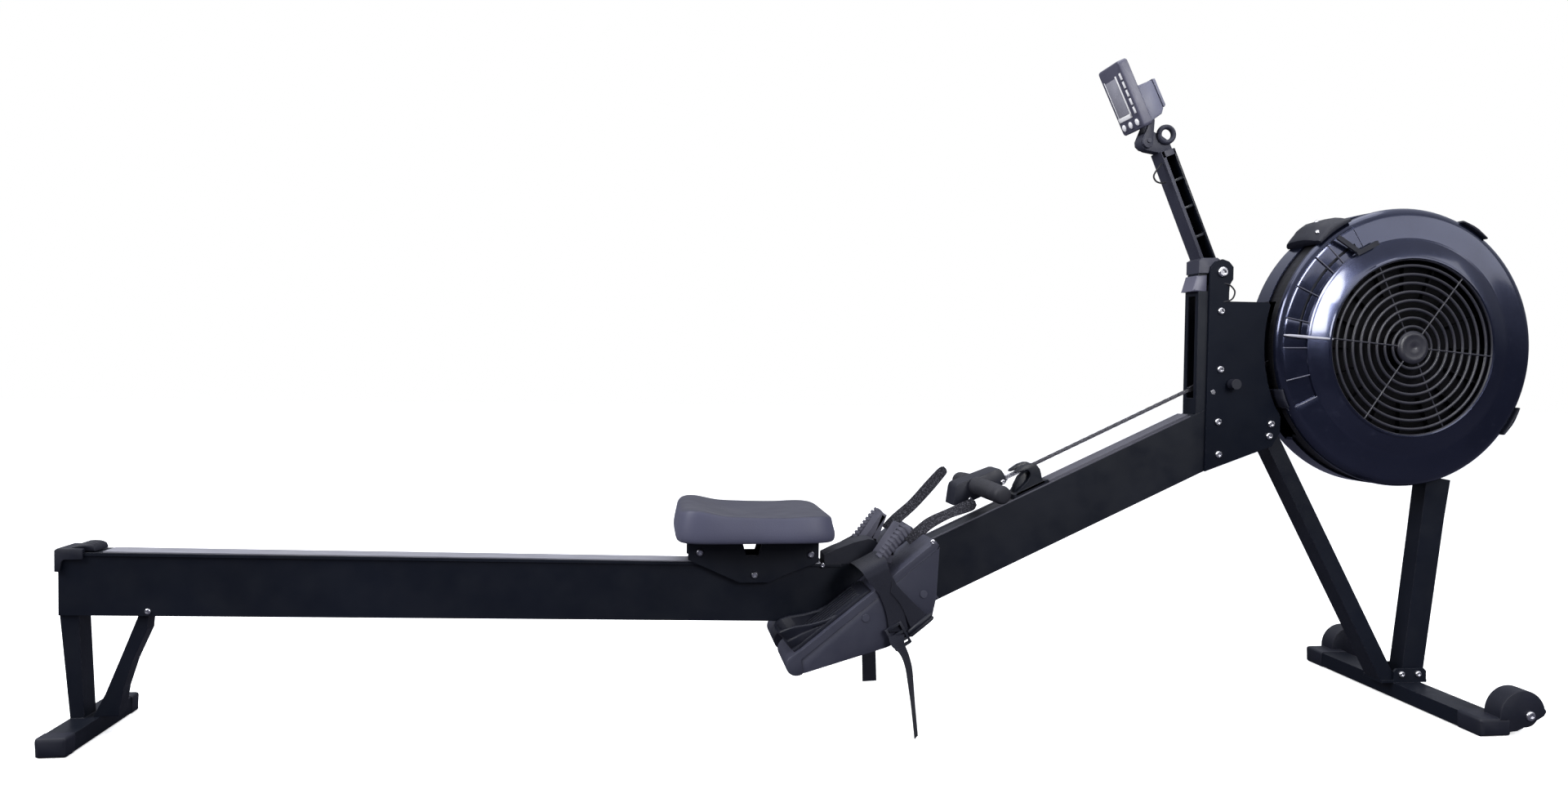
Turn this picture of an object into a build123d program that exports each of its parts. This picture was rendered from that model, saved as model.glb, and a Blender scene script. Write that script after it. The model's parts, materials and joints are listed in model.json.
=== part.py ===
from build123d import *
import math
import os

os.makedirs("parts", exist_ok=True)

# Air rowing machine.  Millimetres, +Z up, +X towards the fan, +Y to the rower's left when facing the fan.
# The outlines below are drawn with X measured from a point near the middle of the machine; every part is
# moved by CENTRING at the end, so that the origin is under the middle of the whole machine, on the floor.
CENTRING = -5.15

# ---- driving dimensions -------------------------------------------------------------------------------
SECTION_WIDTH = 45.0          # rail and beam tube, across
SECTION_HEIGHT = 96.0         # rail and beam tube, perpendicular to their length
TUBE_WALL = 3.0
RAIL_TOP = 250.7              # height of the rail's top face at X = 0
RAIL_FALL = 0.026             # the rail drops this much per unit of X
RAIL_REAR = -1207.0
BEAM_TOP = 225.6              # height of the beam's top face, extended to X = 0
BEAM_RISE = 0.4586            # the beam climbs this much per unit of X
BEAM_END = 706.0
KNEE_TOP = (51.8, 249.35)     # where the two top faces meet
KNEE_BOTTOM = (72.7, 152.8)   # where the two bottom faces meet
WHEEL = (977.9, 622.3)        # fan axle, X and Z
RIM_RADIUS = 242.4
GRILLE_RADIUS = 154.0
PLATE_INNER = 22.5            # inner face of the two upright side plates
PLATE_OUTER = 27.5
HALF_FRONT_FOOT = 225.0
HALF_REAR_FOOT = 112.0
FOOT_HEIGHT = 28.0
AXLE_RADIUS = 8.0
RUNNING_GAP = 0.05            # radial clearance of everything that turns on a pin
SEAT_GAP = 0.05               # clearance of a bolt, pin or tube in the hole that holds it

RAIL_ANGLE = math.degrees(math.atan(RAIL_FALL))
BEAM_ANGLE = math.degrees(math.atan(BEAM_RISE))
HALF = SECTION_WIDTH / 2

parts = {}


# ---- helpers ------------------------------------------------------------------------------------------
def block(x0, x1, y0, y1, z0, z1):
    """Box between two corners."""
    return Pos((x0 + x1) / 2, (y0 + y1) / 2, (z0 + z1) / 2) * Box(x1 - x0, y1 - y0, z1 - z0)


def slab(outline, y0, y1):
    """Prism of an XZ outline between two Y planes."""
    points = [(x, y1, z) for x, z in outline]
    face = make_face(Polyline(*points, close=True))
    return extrude(face, amount=y1 - y0, dir=(0, -1, 0))


def rod(x, z, radius, y0, y1):
    """Cylinder along Y."""
    return Pos(x, (y0 + y1) / 2, z) * Rot(90, 0, 0) * Cylinder(radius, y1 - y0)


def ring(x, z, outer, inner, y0, y1):
    """Washer or roller along Y."""
    return rod(x, z, outer, y0, y1) - rod(x, z, inner, y0 - 1, y1 + 1)


def turned(profile):
    """Solid of revolution about the fan axle, from (radius, y) points."""
    x, z = WHEEL
    face = make_face(Polyline(*[(x + r, y, z) for r, y in profile], close=True))
    return revolve(face, axis=Axis((x, 0, z), (0, 1, 0)), revolution_arc=360)


def mirrored(shape):
    """The same shape on the other side of the centre plane."""
    return mirror(shape, about=Plane.XZ)


def both(shape):
    """A left and a right copy, as separate solids of one node."""
    return Compound(children=[*solids_of(shape), *solids_of(mirrored(shape))])


def solids_of(shape):
    return [Solid(s.wrapped) for s in shape.solids()]


def group(*shapes):
    """Several separate solids in one node."""
    return Compound(children=[s for shape in shapes for s in solids_of(shape)])


def rail_z(x, depth=0.0):
    """Height of the line that lies depth below the rail's top face."""
    return RAIL_TOP - RAIL_FALL * x - depth / math.cos(math.radians(RAIL_ANGLE))


def beam_z(x, depth=0.0):
    """Height of the line that lies depth below the beam's top face."""
    return BEAM_TOP + BEAM_RISE * x - depth / math.cos(math.radians(BEAM_ANGLE))


def bar(start, end, width, y0, y1):
    """Straight bar between two XZ points."""
    dx, dz = end[0] - start[0], end[1] - start[1]
    length = math.hypot(dx, dz)
    nx, nz = -dz / length * width / 2, dx / length * width / 2
    corners = [(start[0] + nx, start[1] + nz), (end[0] + nx, end[1] + nz),
               (end[0] - nx, end[1] - nz), (start[0] - nx, start[1] - nz)]
    return slab(corners, y0, y1)


def on_wheel(radius, degrees):
    """XZ point at a polar place about the fan axle."""
    a = math.radians(degrees)
    return (WHEEL[0] + radius * math.cos(a), WHEEL[1] + radius * math.sin(a))


# ---- seat rail ----------------------------------------------------------------------------------------
FLANGE = 5.0                  # thickness of the rail's overhanging top, which the guide rollers run under
FLANGE_HALF = 24.0
RAIL_HALF = 21.0              # half the width of the rail below its flange
TRACK = 1.5                   # running strip on top of the rail
TRACK_HALF = 20.0


def rail_band(x0, x1, top, bottom, y0, y1):
    """Prism along the rail between two depths below its top face."""
    return slab([(x0, rail_z(x0, top)), (x1, rail_z(x1, top)),
                 (x1, rail_z(x1, bottom)), (x0, rail_z(x0, bottom))], y0, y1)


def make_rail():
    outline = [(RAIL_REAR, rail_z(RAIL_REAR)), KNEE_TOP, KNEE_BOTTOM,
               (RAIL_REAR, rail_z(RAIL_REAR, SECTION_HEIGHT))]
    inner = RAIL_HALF - TUBE_WALL
    body = slab(outline, -RAIL_HALF, RAIL_HALF)
    body += rail_band(RAIL_REAR, -12, 0, FLANGE, -FLANGE_HALF, FLANGE_HALF)
    body -= rail_band(RAIL_REAR - 1, 90, TUBE_WALL, SECTION_HEIGHT - TUBE_WALL, -inner, inner)
    body -= rod(FOOTREST_ROD[0], FOOTREST_ROD[1], 6, -30, 30)
    return body


FOOTREST_ROD = (8.0, 186.0)
FOOTREST_ROD_TOP = (100.0, 222.0)

parts["seat_rail"] = make_rail()
parts["rail_track"] = rail_band(-1145, -46, -TRACK, 0, -TRACK_HALF, TRACK_HALF)

END_CAP_LENGTH = 40.0
cap = rail_band(-1210, -1170, -6, 30, -26.5, 26.5) - rail_band(-1207, -1160, 0, 40, -FLANGE_HALF, FLANGE_HALF)
stop = slab([(-1193, rail_z(-1193, -5)), (-1174, 295.5), (-1152, 294.5), (-1147, 288),
             (-1147, rail_z(-1147)), (-1170, rail_z(-1170)), (-1170, rail_z(-1170, -5))], -20, 20)
parts["rail_end_cap"] = cap + stop

# ---- rear foot ----------------------------------------------------------------------------------------
REAR_FOOT = (-1193.5, -1152.8)
rear_foot_tube = (block(REAR_FOOT[0], REAR_FOOT[1], -HALF_REAR_FOOT + 3, HALF_REAR_FOOT - 3, 2, FOOT_HEIGHT)
                  - block(REAR_FOOT[0] + 2, REAR_FOOT[1] - 2, -200, 200, 4, FOOT_HEIGHT - 2))


def foot_cap(x0, x1, sleeve, half_length):
    """Plastic cap over one end of a foot tube: a sleeve, an end wall and a floor pad."""
    outer = block(x0 - 2, x1 + 2, -half_length, -half_length + sleeve, 0, FOOT_HEIGHT + 2)
    outer = fillet(outer.edges().filter_by(Axis.X).group_by(Axis.Y)[0].group_by(Axis.Z)[-1], 5)
    return outer - block(x0 - SEAT_GAP, x1 + SEAT_GAP, -half_length + 2.9, -half_length + sleeve + 1,
                         2 - SEAT_GAP, FOOT_HEIGHT + SEAT_GAP)


parts["rear_foot_caps"] = both(foot_cap(REAR_FOOT[0], REAR_FOOT[1], 26, HALF_REAR_FOOT))

post = [(-1207, rail_z(-1207, SECTION_HEIGHT)), (-1180, rail_z(-1180, SECTION_HEIGHT)),
        (-1173, FOOT_HEIGHT), (-1198 + 5, FOOT_HEIGHT)]
post = slab(post, -17, 17)
post -= slab([(-1204.5, 186), (-1182.5, 186), (-1175.5, 20), (-1190, 20)], -15, 15)
parts["rear_leg"] = rear_foot_tube + post

brace = slab([(-1163, FOOT_HEIGHT), (-1127, FOOT_HEIGHT), (-1120, 70), (-1107, 112), (-1086, 160),
              (-1084, rail_z(-1084, SECTION_HEIGHT)), (-1098, rail_z(-1098, SECTION_HEIGHT)),
              (-1122, 122), (-1146, 62)], -12, 12)
parts["rear_brace"] = brace - slab([(-1150, 20), (-1136, 20), (-1124, 80), (-1095, 160), (-1092, 175),
                                    (-1100, 160), (-1126, 100), (-1141, 58)], -9.5, 13)

# ---- knee: where the rail meets the beam --------------------------------------------------------------
hump = slab([(-40, rail_z(-40, -14)), (-20, rail_z(-20, -24)), (10, rail_z(10, -36)),
             (34, rail_z(34, -42)), (44, beam_z(44, -40)), (56, beam_z(56, -26)), (56, beam_z(56)),
             KNEE_TOP, (20, rail_z(20)), (-40, rail_z(-40))], -22, 22)
cover = slab([(-36, rail_z(-36, -10)), (-18, rail_z(-18, -20)), (10, rail_z(10, -31)),
              (34, rail_z(34, -37)), (43, beam_z(43, -35)), (52, beam_z(52, -24)), (52, beam_z(52, 5)),
              (-36, rail_z(-36, 5))], -19, 19)
parts["knee_cover"] = hump - cover

# ---- main beam and upright ----------------------------------------------------------------------------
LEG_A = ((750.0, 455.0), (980.0, 33.0))      # centre line of the leg behind the fan, top to bottom
LEG_A_WIDTH = 27.0


def make_beam():
    outline = [KNEE_TOP, (BEAM_END - 44, beam_z(BEAM_END - 44)), (BEAM_END, beam_z(BEAM_END, SECTION_HEIGHT)),
               KNEE_BOTTOM]
    body = slab(outline, -HALF, HALF)
    inner = [(30, beam_z(30, TUBE_WALL)), (800, beam_z(800, TUBE_WALL)),
             (800, beam_z(800, SECTION_HEIGHT - TUBE_WALL)), (30, beam_z(30, SECTION_HEIGHT - TUBE_WALL))]
    body -= slab(inner, -HALF + TUBE_WALL, HALF - TUBE_WALL)
    body -= rod(FOOTREST_ROD_TOP[0], FOOTREST_ROD_TOP[1], 6, -30, 30)
    for x, z in BEAM_BOLTS:
        body -= rod(x, z, 4, -30, 30)
    return body


BEAM_BOLTS = [(642.0, 490.0), (644.0, 434.0)]
parts["main_beam"] = make_beam()

UPRIGHT_REAR = 604.0
UPRIGHT_FRONT = 660.0
UPRIGHT_TOP = 714.0
WINDOW = (530.0, 706.0)
upright = slab([(UPRIGHT_REAR, beam_z(UPRIGHT_REAR)), (UPRIGHT_REAR, UPRIGHT_TOP),
                (UPRIGHT_FRONT, UPRIGHT_TOP), (UPRIGHT_FRONT, beam_z(UPRIGHT_FRONT))], -HALF, HALF)
upright -= block(UPRIGHT_REAR + 3, 700, -HALF + 3, HALF - 3, 400, UPRIGHT_TOP + 5)
upright -= block(UPRIGHT_REAR - 1, UPRIGHT_REAR + 5, -12, 12, WINDOW[0], WINDOW[1])
rest_block = (block(UPRIGHT_REAR + 1, 622, -18, 18, UPRIGHT_TOP, 744)
              + block(UPRIGHT_REAR, 626, -HALF, HALF, UPRIGHT_TOP - 4, UPRIGHT_TOP))
upright += rest_block
IDLER = (632.0, 541.0)
UPRIGHT_BOLTS = [(643.0, 680.0), (644.0, 580.0)]
for x, z in UPRIGHT_BOLTS:
    upright -= rod(x, z, 4, -30, 30)
upright -= rod(IDLER[0], IDLER[1], 4, -30, 30)
parts["upright_channel"] = upright

PIVOT = (644.0, 747.0)
KNOB = (664.0, 555.0)
CAGE_CLEAR = 254.0            # radius about the fan axle that the side plates stay outside of
plate_edge = [on_wheel(CAGE_CLEAR, a) for a in range(164, 206, 5)]
plate = [(620, beam_z(620, SECTION_HEIGHT)), (622, PIVOT[1]), (624, 756), (632, 765), (644, 769),
         (656, 765), (664, 756), (664, 735), (658, 725), (656, 697), (730, 697), *plate_edge, (757, 500),
         (757, 472), (742, 448)]
plate = slab(plate, -PLATE_OUTER, -PLATE_INNER)
for x, z in [*UPRIGHT_BOLTS, *BEAM_BOLTS, (740, 487), (737, 466), IDLER, PIVOT]:
    plate -= rod(x, z, 4, -30, -20)
far_plate = mirrored(plate)
plate -= rod(KNOB[0], KNOB[1], 5, -30, -20)
parts["side_plates"] = group(plate, far_plate)

# ---- legs and front foot ------------------------------------------------------------------------------
FRONT_FOOT = (987.7, 1039.7)
leg = bar((LEG_A[0][0] - 16.4, LEG_A[0][1] + 30), (996.4, 3), LEG_A_WIDTH, -20, 20)
leg -= bar((LEG_A[0][0] - 40, LEG_A[0][1] + 73), (1020, -40), LEG_A_WIDTH - 5, -17.5, 17.5)
leg -= block(900, 1100, -30, 30, -20, FOOT_HEIGHT + 5)
for x, z in [(740, 487), (737, 466)]:
    leg -= rod(x, z, 4, -30, 30)
leg -= slab([(600, 560), (800, 560), (800, 492), (752, 492), (720, 478), (700, 478)], -30, 30)
parts["rear_front_leg"] = leg

SUPPORT_Y = (16.5, 22.5)      # plate that carries the fan axle
leg = slab([(1048, 396), (1094, 388), (1084, 321), (1049, FOOT_HEIGHT + 5), (1008, FOOT_HEIGHT + 5),
            (1037, 292)], -16.5, 16.5)
leg -= slab([(1050, 400), (1092, 400), (1081.5, 321), (1044, 20), (1010, 20), (1039.5, 292)], -14, 14)
leg -= rod(1035, 43, 4, -30, 30)
parts["front_leg"] = leg

foot = block(FRONT_FOOT[0], FRONT_FOOT[1], -HALF_FRONT_FOOT + 3, HALF_FRONT_FOOT - 3, 2, FOOT_HEIGHT)
foot -= block(FRONT_FOOT[0] + 2.5, FRONT_FOOT[1] - 2.5, -300, 300, 4.5, FOOT_HEIGHT - 2.5)
leg_plate = block(965, 1052, -24.5, 24.5, FOOT_HEIGHT, FOOT_HEIGHT + 5)
LEG_BOLTS = [(1003.0, 43.0), (1035.0, 43.0)]
ear = slab([(988, 31), (1051, 31), (1051, 48), (1046, 53), (993, 53), (988, 48)], -24.5, -20.5)
for x, z in LEG_BOLTS:
    ear -= rod(x, z, 4, -30, -10)
parts["front_foot"] = foot + leg_plate + ear + mirrored(ear)

CASTER = (1073.0, 32.0)
CASTER_RADIUS = 21.0
FENDER_RADIUS = 40.0


def make_front_cap():
    """Foot cap moulded together with the fender of its transport wheel."""
    sleeve = foot_cap(FRONT_FOOT[0], FRONT_FOOT[1], 50, HALF_FRONT_FOOT)
    x, z = 1060.0, 33.0
    arc = [(x + FENDER_RADIUS * math.cos(math.radians(a)), z + FENDER_RADIUS * math.sin(math.radians(a)))
           for a in range(20, 181, 20)]
    fender = slab([(1102, 40), *arc, (x - FENDER_RADIUS, 30), (1042, 30), (1042, 8), (1050, 8), (1102, 34)],
                  -HALF_FRONT_FOOT, -HALF_FRONT_FOOT + 34)
    well = [(CASTER[0] + 25 * math.cos(math.radians(a)), CASTER[1] + 25 * math.sin(math.radians(a)))
            for a in range(0, 181, 20)]
    fender -= slab([*well, (CASTER[0] - 25, 0), (CASTER[0] + 40, 0), (CASTER[0] + 40, 30)],
                   -HALF_FRONT_FOOT + 4, -HALF_FRONT_FOOT + 30)
    fender -= block(900, 1041.7, -300, -100, -5, 30)
    return sleeve + fender - rod(CASTER[0], CASTER[1], 4, -HALF_FRONT_FOOT - 1, -180)


parts["front_foot_caps"] = both(make_front_cap())
wheel = ring(CASTER[0], CASTER[1], CASTER_RADIUS, 4,
             -HALF_FRONT_FOOT + 6, -HALF_FRONT_FOOT + 28)
wheel -= ring(CASTER[0], CASTER[1], 16, 9, -HALF_FRONT_FOOT + 5, -HALF_FRONT_FOOT + 9)
parts["right_transport_wheel"] = wheel
parts["left_transport_wheel"] = mirrored(wheel)
caster_pin = rod(CASTER[0], CASTER[1], 4 - SEAT_GAP, -HALF_FRONT_FOOT + 0.5, -HALF_FRONT_FOOT + 36)

# ---- fan cage -----------------------------------------------------------------------------------------
NECK = block(700, 800, -14, 23, 430, 700)     # where the chain and the fan's support plate enter the cage
LEG_WELL = block(1030, 1112, -18, 24, 360, 432)

shell = turned([(GRILLE_RADIUS, -62), (165, -61), (186, -54), (188, -51), (236, -50), (RIM_RADIUS, -47),
                (RIM_RADIUS, -40), (239, -40), (239, -44), (234, -47), (187, -48), (164, -57),
                (GRILLE_RADIUS, -58)])
LEVER_RADIUS = 204.0
LEVER_ANGLE = 124.0
LEVER_TRAVEL = 50.0
slot_points = [on_wheel(LEVER_RADIUS + 2.4, LEVER_ANGLE - 3 + a) for a in range(0, 57, 7)]
slot_points += [on_wheel(LEVER_RADIUS - 2.4, LEVER_ANGLE - 3 + a) for a in range(56, -1, -7)]
shell -= slab(slot_points, -70, -40)
parts["cage_near_shell"] = shell

band = turned([(236, -40), (238.5, -40), (238.5, 2), (236, 2)])
parts["cage_mesh_band"] = band - NECK - LEG_WELL

far = turned([(RIM_RADIUS, 2), (RIM_RADIUS, 40), (236, 45.5), (60, 47), (60, 44), (235, 42.5), (239, 38.5),
              (239, 2)])
parts["cage_far_shell"] = far - NECK - LEG_WELL

grille = turned([(150, -57.9), (153.9, -57.9), (153.9, -62.5), (150, -62.5)])
for radius in range(34, 146, 15):
    grille += turned([(radius, -57.5), (radius + 4.5, -57.5), (radius + 4.5, -61.5), (radius, -61.5)])
RIB_ANGLES = (-5, 53, 115, 175, 235, 295)
for angle in RIB_ANGLES:
    grille += bar(on_wheel(26, angle), on_wheel(152, angle), 3.5, -61.5, -56)
grille += turned([(0.001, -56), (29, -56), (29, -64), (24, -66), (0.001, -66)])
parts["cage_grille"] = grille

clips = []
for angle, span in ((133, 7), (57, 4), (-31, 4), (202, 4)):
    clip = turned([(RIM_RADIUS, -49.5), (RIM_RADIUS + 6, -46), (RIM_RADIUS + 6, 8), (RIM_RADIUS, 12)])
    wedge = slab([WHEEL, on_wheel(300, angle - span), on_wheel(300, angle + span)], -60, 20)
    clips.append(clip & wedge)
parts["cage_clips"] = group(*clips)

support = slab([(666, 560), (666, 690), (724, 690), (770, 655), (900, 650), (960, 668), (1000, 662),
                (1022, 640), (1088, 400), (1094, 389), (1050, 397), (990, 570), (940, 580), (800, 560),
                (726, 545)], SUPPORT_Y[0], SUPPORT_Y[1])
support -= rod(WHEEL[0], WHEEL[1], AXLE_RADIUS + SEAT_GAP, 0, 40)
parts["fan_support_plate"] = support

axle = rod(WHEEL[0], WHEEL[1], AXLE_RADIUS, -44, 32)
axle += rod(WHEEL[0], WHEEL[1], 12, 22.5, 30)
parts["fan_axle"] = axle

# fan: hub, disc and blades, with two bearings in the hub
FAN_RADIUS = 222.0
hub = turned([(16, -38), (30, -38), (30, -10), (19, -10), (19, 10), (16, 10)])
fan = hub + turned([(29, -26), (FAN_RADIUS - 2, -25), (FAN_RADIUS - 2, -23), (29, -22)])
blade_points = [(95, -36), (FAN_RADIUS, -36), (FAN_RADIUS, -8), (95, -8)]
for i in range(16):
    angle = i * 360 / 16
    blade = make_face(Polyline(*[(WHEEL[0] + r, y, WHEEL[1] - 1.5) for r, y in blade_points], close=True))
    blade = extrude(blade, amount=3, dir=(0, 0, 1))
    fan += blade.rotate(Axis((WHEEL[0], 0, WHEEL[1]), (0, 1, 0)), angle)
parts["fan_rotor"] = fan
bearing = turned([(AXLE_RADIUS + RUNNING_GAP, -36), (16, -36), (16, -27), (AXLE_RADIUS + RUNNING_GAP, -27)])
second = turned([(AXLE_RADIUS + RUNNING_GAP, -2), (16, -2), (16, 8), (AXLE_RADIUS + RUNNING_GAP, 8)])
parts["fan_bearings"] = group(bearing, second)

SPROCKET_RADIUS = 30.0
CHAIN_GAP = 0.4
sprocket = turned([(19 + RUNNING_GAP, -6), (26, -6), (26, -3), (SPROCKET_RADIUS, -2), (SPROCKET_RADIUS, 2),
                   (26, 3), (26, 9), (19 + RUNNING_GAP, 9)])
parts["clutch_sprocket"] = sprocket

damper = turned([(160, -44), (222, -44), (222, -41.5), (160, -41.5)])
lever_in, lever_out = on_wheel(LEVER_RADIUS - 1.4, LEVER_ANGLE), on_wheel(LEVER_RADIUS + 1.4, LEVER_ANGLE)
damper += bar(lever_in, lever_out, 5, -61, -43)
damper += bar(on_wheel(236, LEVER_ANGLE + 4), on_wheel(192, LEVER_ANGLE - 1), 8, -63, -58.5)
damper += bar(on_wheel(193, LEVER_ANGLE + 1), on_wheel(192, LEVER_ANGLE - 12), 8, -65, -58.5)
vents = [turned([(192, -45), (218, -45), (218, -40), (192, -40)])
         & slab([WHEEL, on_wheel(300, a), on_wheel(300, a + 7)], -60, 0) for a in range(185, 475, 20)]
for vent in vents:
    damper -= vent
parts["damper_ring"] = damper

# ---- chain drive --------------------------------------------------------------------------------------
CHAIN_HALF = 3.5
idler_radius = 12.3
idler = ring(IDLER[0], IDLER[1], idler_radius + 3, 4, -8, 8)
idler -= ring(IDLER[0], IDLER[1], idler_radius + 6, idler_radius - 0.6, -4.5, 4.5)
parts["idler_roller"] = idler
WINDOW_CHAIN = (600.0, 543.0)
SWIVEL_END = (298.0, 402.2)
parts["chain_span"] = bar(SWIVEL_END, WINDOW_CHAIN, 8, -CHAIN_HALF, CHAIN_HALF)

top_angle = 104.0
chain_radius = SPROCKET_RADIUS + CHAIN_GAP + 4
leave_top = on_wheel(chain_radius, top_angle)
leave_bottom = on_wheel(chain_radius, -62)
wrap = ring(WHEEL[0], WHEEL[1], SPROCKET_RADIUS + CHAIN_GAP + 8, SPROCKET_RADIUS + CHAIN_GAP,
            -CHAIN_HALF, CHAIN_HALF)
wrap &= slab([WHEEL, on_wheel(60, top_angle), (WHEEL[0] + 60, WHEEL[1] + 60), (WHEEL[0] + 60, WHEEL[1] - 60),
              on_wheel(60, -62)], -10, 10)
run = bar((WINDOW_CHAIN[0] + 2, WINDOW_CHAIN[1] + 1), (IDLER[0], IDLER[1] + idler_radius + 5.3), 8,
          -CHAIN_HALF, CHAIN_HALF)
run += bar((IDLER[0] - 1, IDLER[1] + idler_radius + 5.3), leave_top, 8, -CHAIN_HALF, CHAIN_HALF)
run += wrap
return_end = (690.0, 478.0)
run += bar(leave_bottom, return_end, 8, -CHAIN_HALF, CHAIN_HALF)
upper = (640.0, beam_z(640.0, 37))
run += bar(return_end, upper, 8, -CHAIN_HALF, CHAIN_HALF)
parts["drive_chain"] = run

def beam_point(x, depth):
    """Point at a depth below the beam's top face, measured square to it."""
    a = math.radians(BEAM_ANGLE)
    return (x + depth * math.sin(a), beam_z(x) - depth * math.cos(a))


pulley_centre = beam_point(130.0, 48.0)
CORD_LINE = 11.0
cord_a = bar(beam_point(130.0, 48 - CORD_LINE), beam_point(600.0, 48 - CORD_LINE), 8, -4, 4)
cord_b = bar(beam_point(130.0, 48 + CORD_LINE), beam_point(560.0, 48 + CORD_LINE), 8, -4, 4)
loop = ring(pulley_centre[0], pulley_centre[1], CORD_LINE + 4, CORD_LINE - 4, -4, 4)
ahead_of_pulley = Rot(0, -BEAM_ANGLE, 0) * Pos(50, 0, 0) * Box(100, 40, 100)
loop -= Pos(pulley_centre[0], 0, pulley_centre[1]) * ahead_of_pulley
parts["bungee_cord"] = cord_a + cord_b + loop
parts["return_pulley"] = ring(pulley_centre[0], pulley_centre[1], CORD_LINE - 4.3, 3 + RUNNING_GAP, -6, 6)

# pins that rollers and pulleys turn on
idler_pin = rod(IDLER[0], IDLER[1], 4 - SEAT_GAP, -28, 28)
return_pin = rod(pulley_centre[0], pulley_centre[1], 3, -19.5, 19.5)
parts["roller_pins"] = group(idler_pin, return_pin, caster_pin, mirrored(caster_pin))

# ---- handle -------------------------------------------------------------------------------------------
GRIP_ROOT = (214.5, 24.0, 381.4)      # where each grip's axis leaves the yoke: x, |y|, z
GRIP_TIP = (231.0, 118.0, 374.3)      # outer end of each grip's axis, swept forward
GRIP_RADIUS = 15.0
GRIP_BORE = 8.0


def on_grip(share):
    """Point on the right grip's axis, 0 at the yoke's side face and 1 at the tip."""
    x, y, z = (a + (b - a) * share for a, b in zip(GRIP_ROOT, GRIP_TIP))
    return Vector(x, -y, z)


def along_grip(start, end, radius):
    """Round bar between two shares of the grip's axis."""
    a, b = on_grip(start), on_grip(end)
    return Solid.make_cylinder(radius, (b - a).length, Plane(origin=a, z_dir=b - a))


yoke = slab([(177, 350), (181, 374), (188, 382), (218, 392), (250, 407), (259, 405), (268, 392), (266, 384),
             (236, 366), (196, 348)], -24, 24)
yoke -= block(252, 272, -6, 6, 366, 415)
tube = along_grip(-0.1, 0.95, GRIP_BORE - SEAT_GAP)
parts["handle_bar"] = yoke + tube + mirrored(tube)
grip = along_grip(0.035, 1.0, GRIP_RADIUS) - along_grip(0.0, 0.955, GRIP_BORE)
parts["handle_grips"] = both(grip)
swivel = bar((255.5, 382.4), (275, 391.5), 9, -5.5, 5.5) + bar((274, 391), (297, 401.8), 6, -3, 3)
parts["chain_swivel"] = swivel

hook_line = [(284, 401), (287, 405), (300, 413.5), (311, 417), (321, 416), (328, 408), (332, 392), (338, 384.5),
             (286, 362.5), (292, 372), (306, 386), (312, 398), (308, 406), (299, 406)]
hook_plate = slab(hook_line, -20, -8)
base = slab([(284, beam_z(284)), (342, beam_z(342)), (342, beam_z(342, -8)), (284, beam_z(284, -8))], -20, 20)
parts["handle_hook"] = base + hook_plate + mirrored(hook_plate)

# ---- footrests ----------------------------------------------------------------------------------------
HEEL = (-101.6, 112.7)
BOARD_ANGLE = 38.35
HEEL_RADIUS = 14.0
BOARD_LENGTH = 292.0
BOARD_INNER, BOARD_OUTER = 23.0, 130.0


def on_board(s, n):
    """XZ point at s along the footboard from the heel and n square to it."""
    a = math.radians(BOARD_ANGLE)
    return (HEEL[0] + s * math.cos(a) - n * math.sin(a), HEEL[1] + s * math.sin(a) + n * math.cos(a))


def make_board():
    top = slab([on_board(0, 4), on_board(0, 14), on_board(BOARD_LENGTH, 14), on_board(BOARD_LENGTH, 4)],
               -BOARD_OUTER, -BOARD_INNER)
    heel = rod(HEEL[0], HEEL[1], HEEL_RADIUS, -BOARD_OUTER, -BOARD_INNER)
    wall = [on_board(0, 4), on_board(BOARD_LENGTH, 5), (122, 216), (116, 186), (43, 138), (-99, 99)]
    board = top + heel
    board += slab(wall, -BOARD_OUTER, -BOARD_OUTER + 4) + slab(wall, -BOARD_INNER - 4, -BOARD_INNER)
    board -= rod(FOOTREST_ROD[0], FOOTREST_ROD[1], 6, -140, 0)
    board -= rod(FOOTREST_ROD_TOP[0], FOOTREST_ROD_TOP[1], 6, -140, 0)
    return board


parts["footboards"] = both(make_board())
parts["footrest_rods"] = group(*[rod(x, z, 6 - SEAT_GAP, -BOARD_OUTER, BOARD_OUTER)
                                 for x, z in (FOOTREST_ROD, FOOTREST_ROD_TOP)])

CUP_INNER, CUP_OUTER = 38.0, 120.0


def make_heel_cup():
    """Sliding plate with a wall that wraps round the heel."""
    plate = slab([on_board(14, 14.3), on_board(14, 19), on_board(150, 19), on_board(165, 17),
                  on_board(165, 14.3)],
                 -CUP_OUTER, -CUP_INNER)
    wall_side = [on_board(14, 15), on_board(8, 52), on_board(44, 48), on_board(96, 19), on_board(96, 15)]
    wall = slab(wall_side, -CUP_OUTER, -CUP_INNER)
    wall -= slab([on_board(19, 19), on_board(13, 60), on_board(100, 60), on_board(120, 19)],
                 -CUP_OUTER + 5, -CUP_INNER - 5)
    return plate + wall


cup = make_heel_cup()
parts["right_heel_cup"] = cup
parts["left_heel_cup"] = mirrored(cup)

PAD_INNER, PAD_OUTER = 42.0, 112.0
pad = slab([on_board(206, 33), on_board(204, 46), on_board(262, 60), on_board(276, 58), on_board(276, 46),
            on_board(270, 44)], -PAD_OUTER, -PAD_INNER)
parts["toe_pads"] = both(pad)

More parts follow.
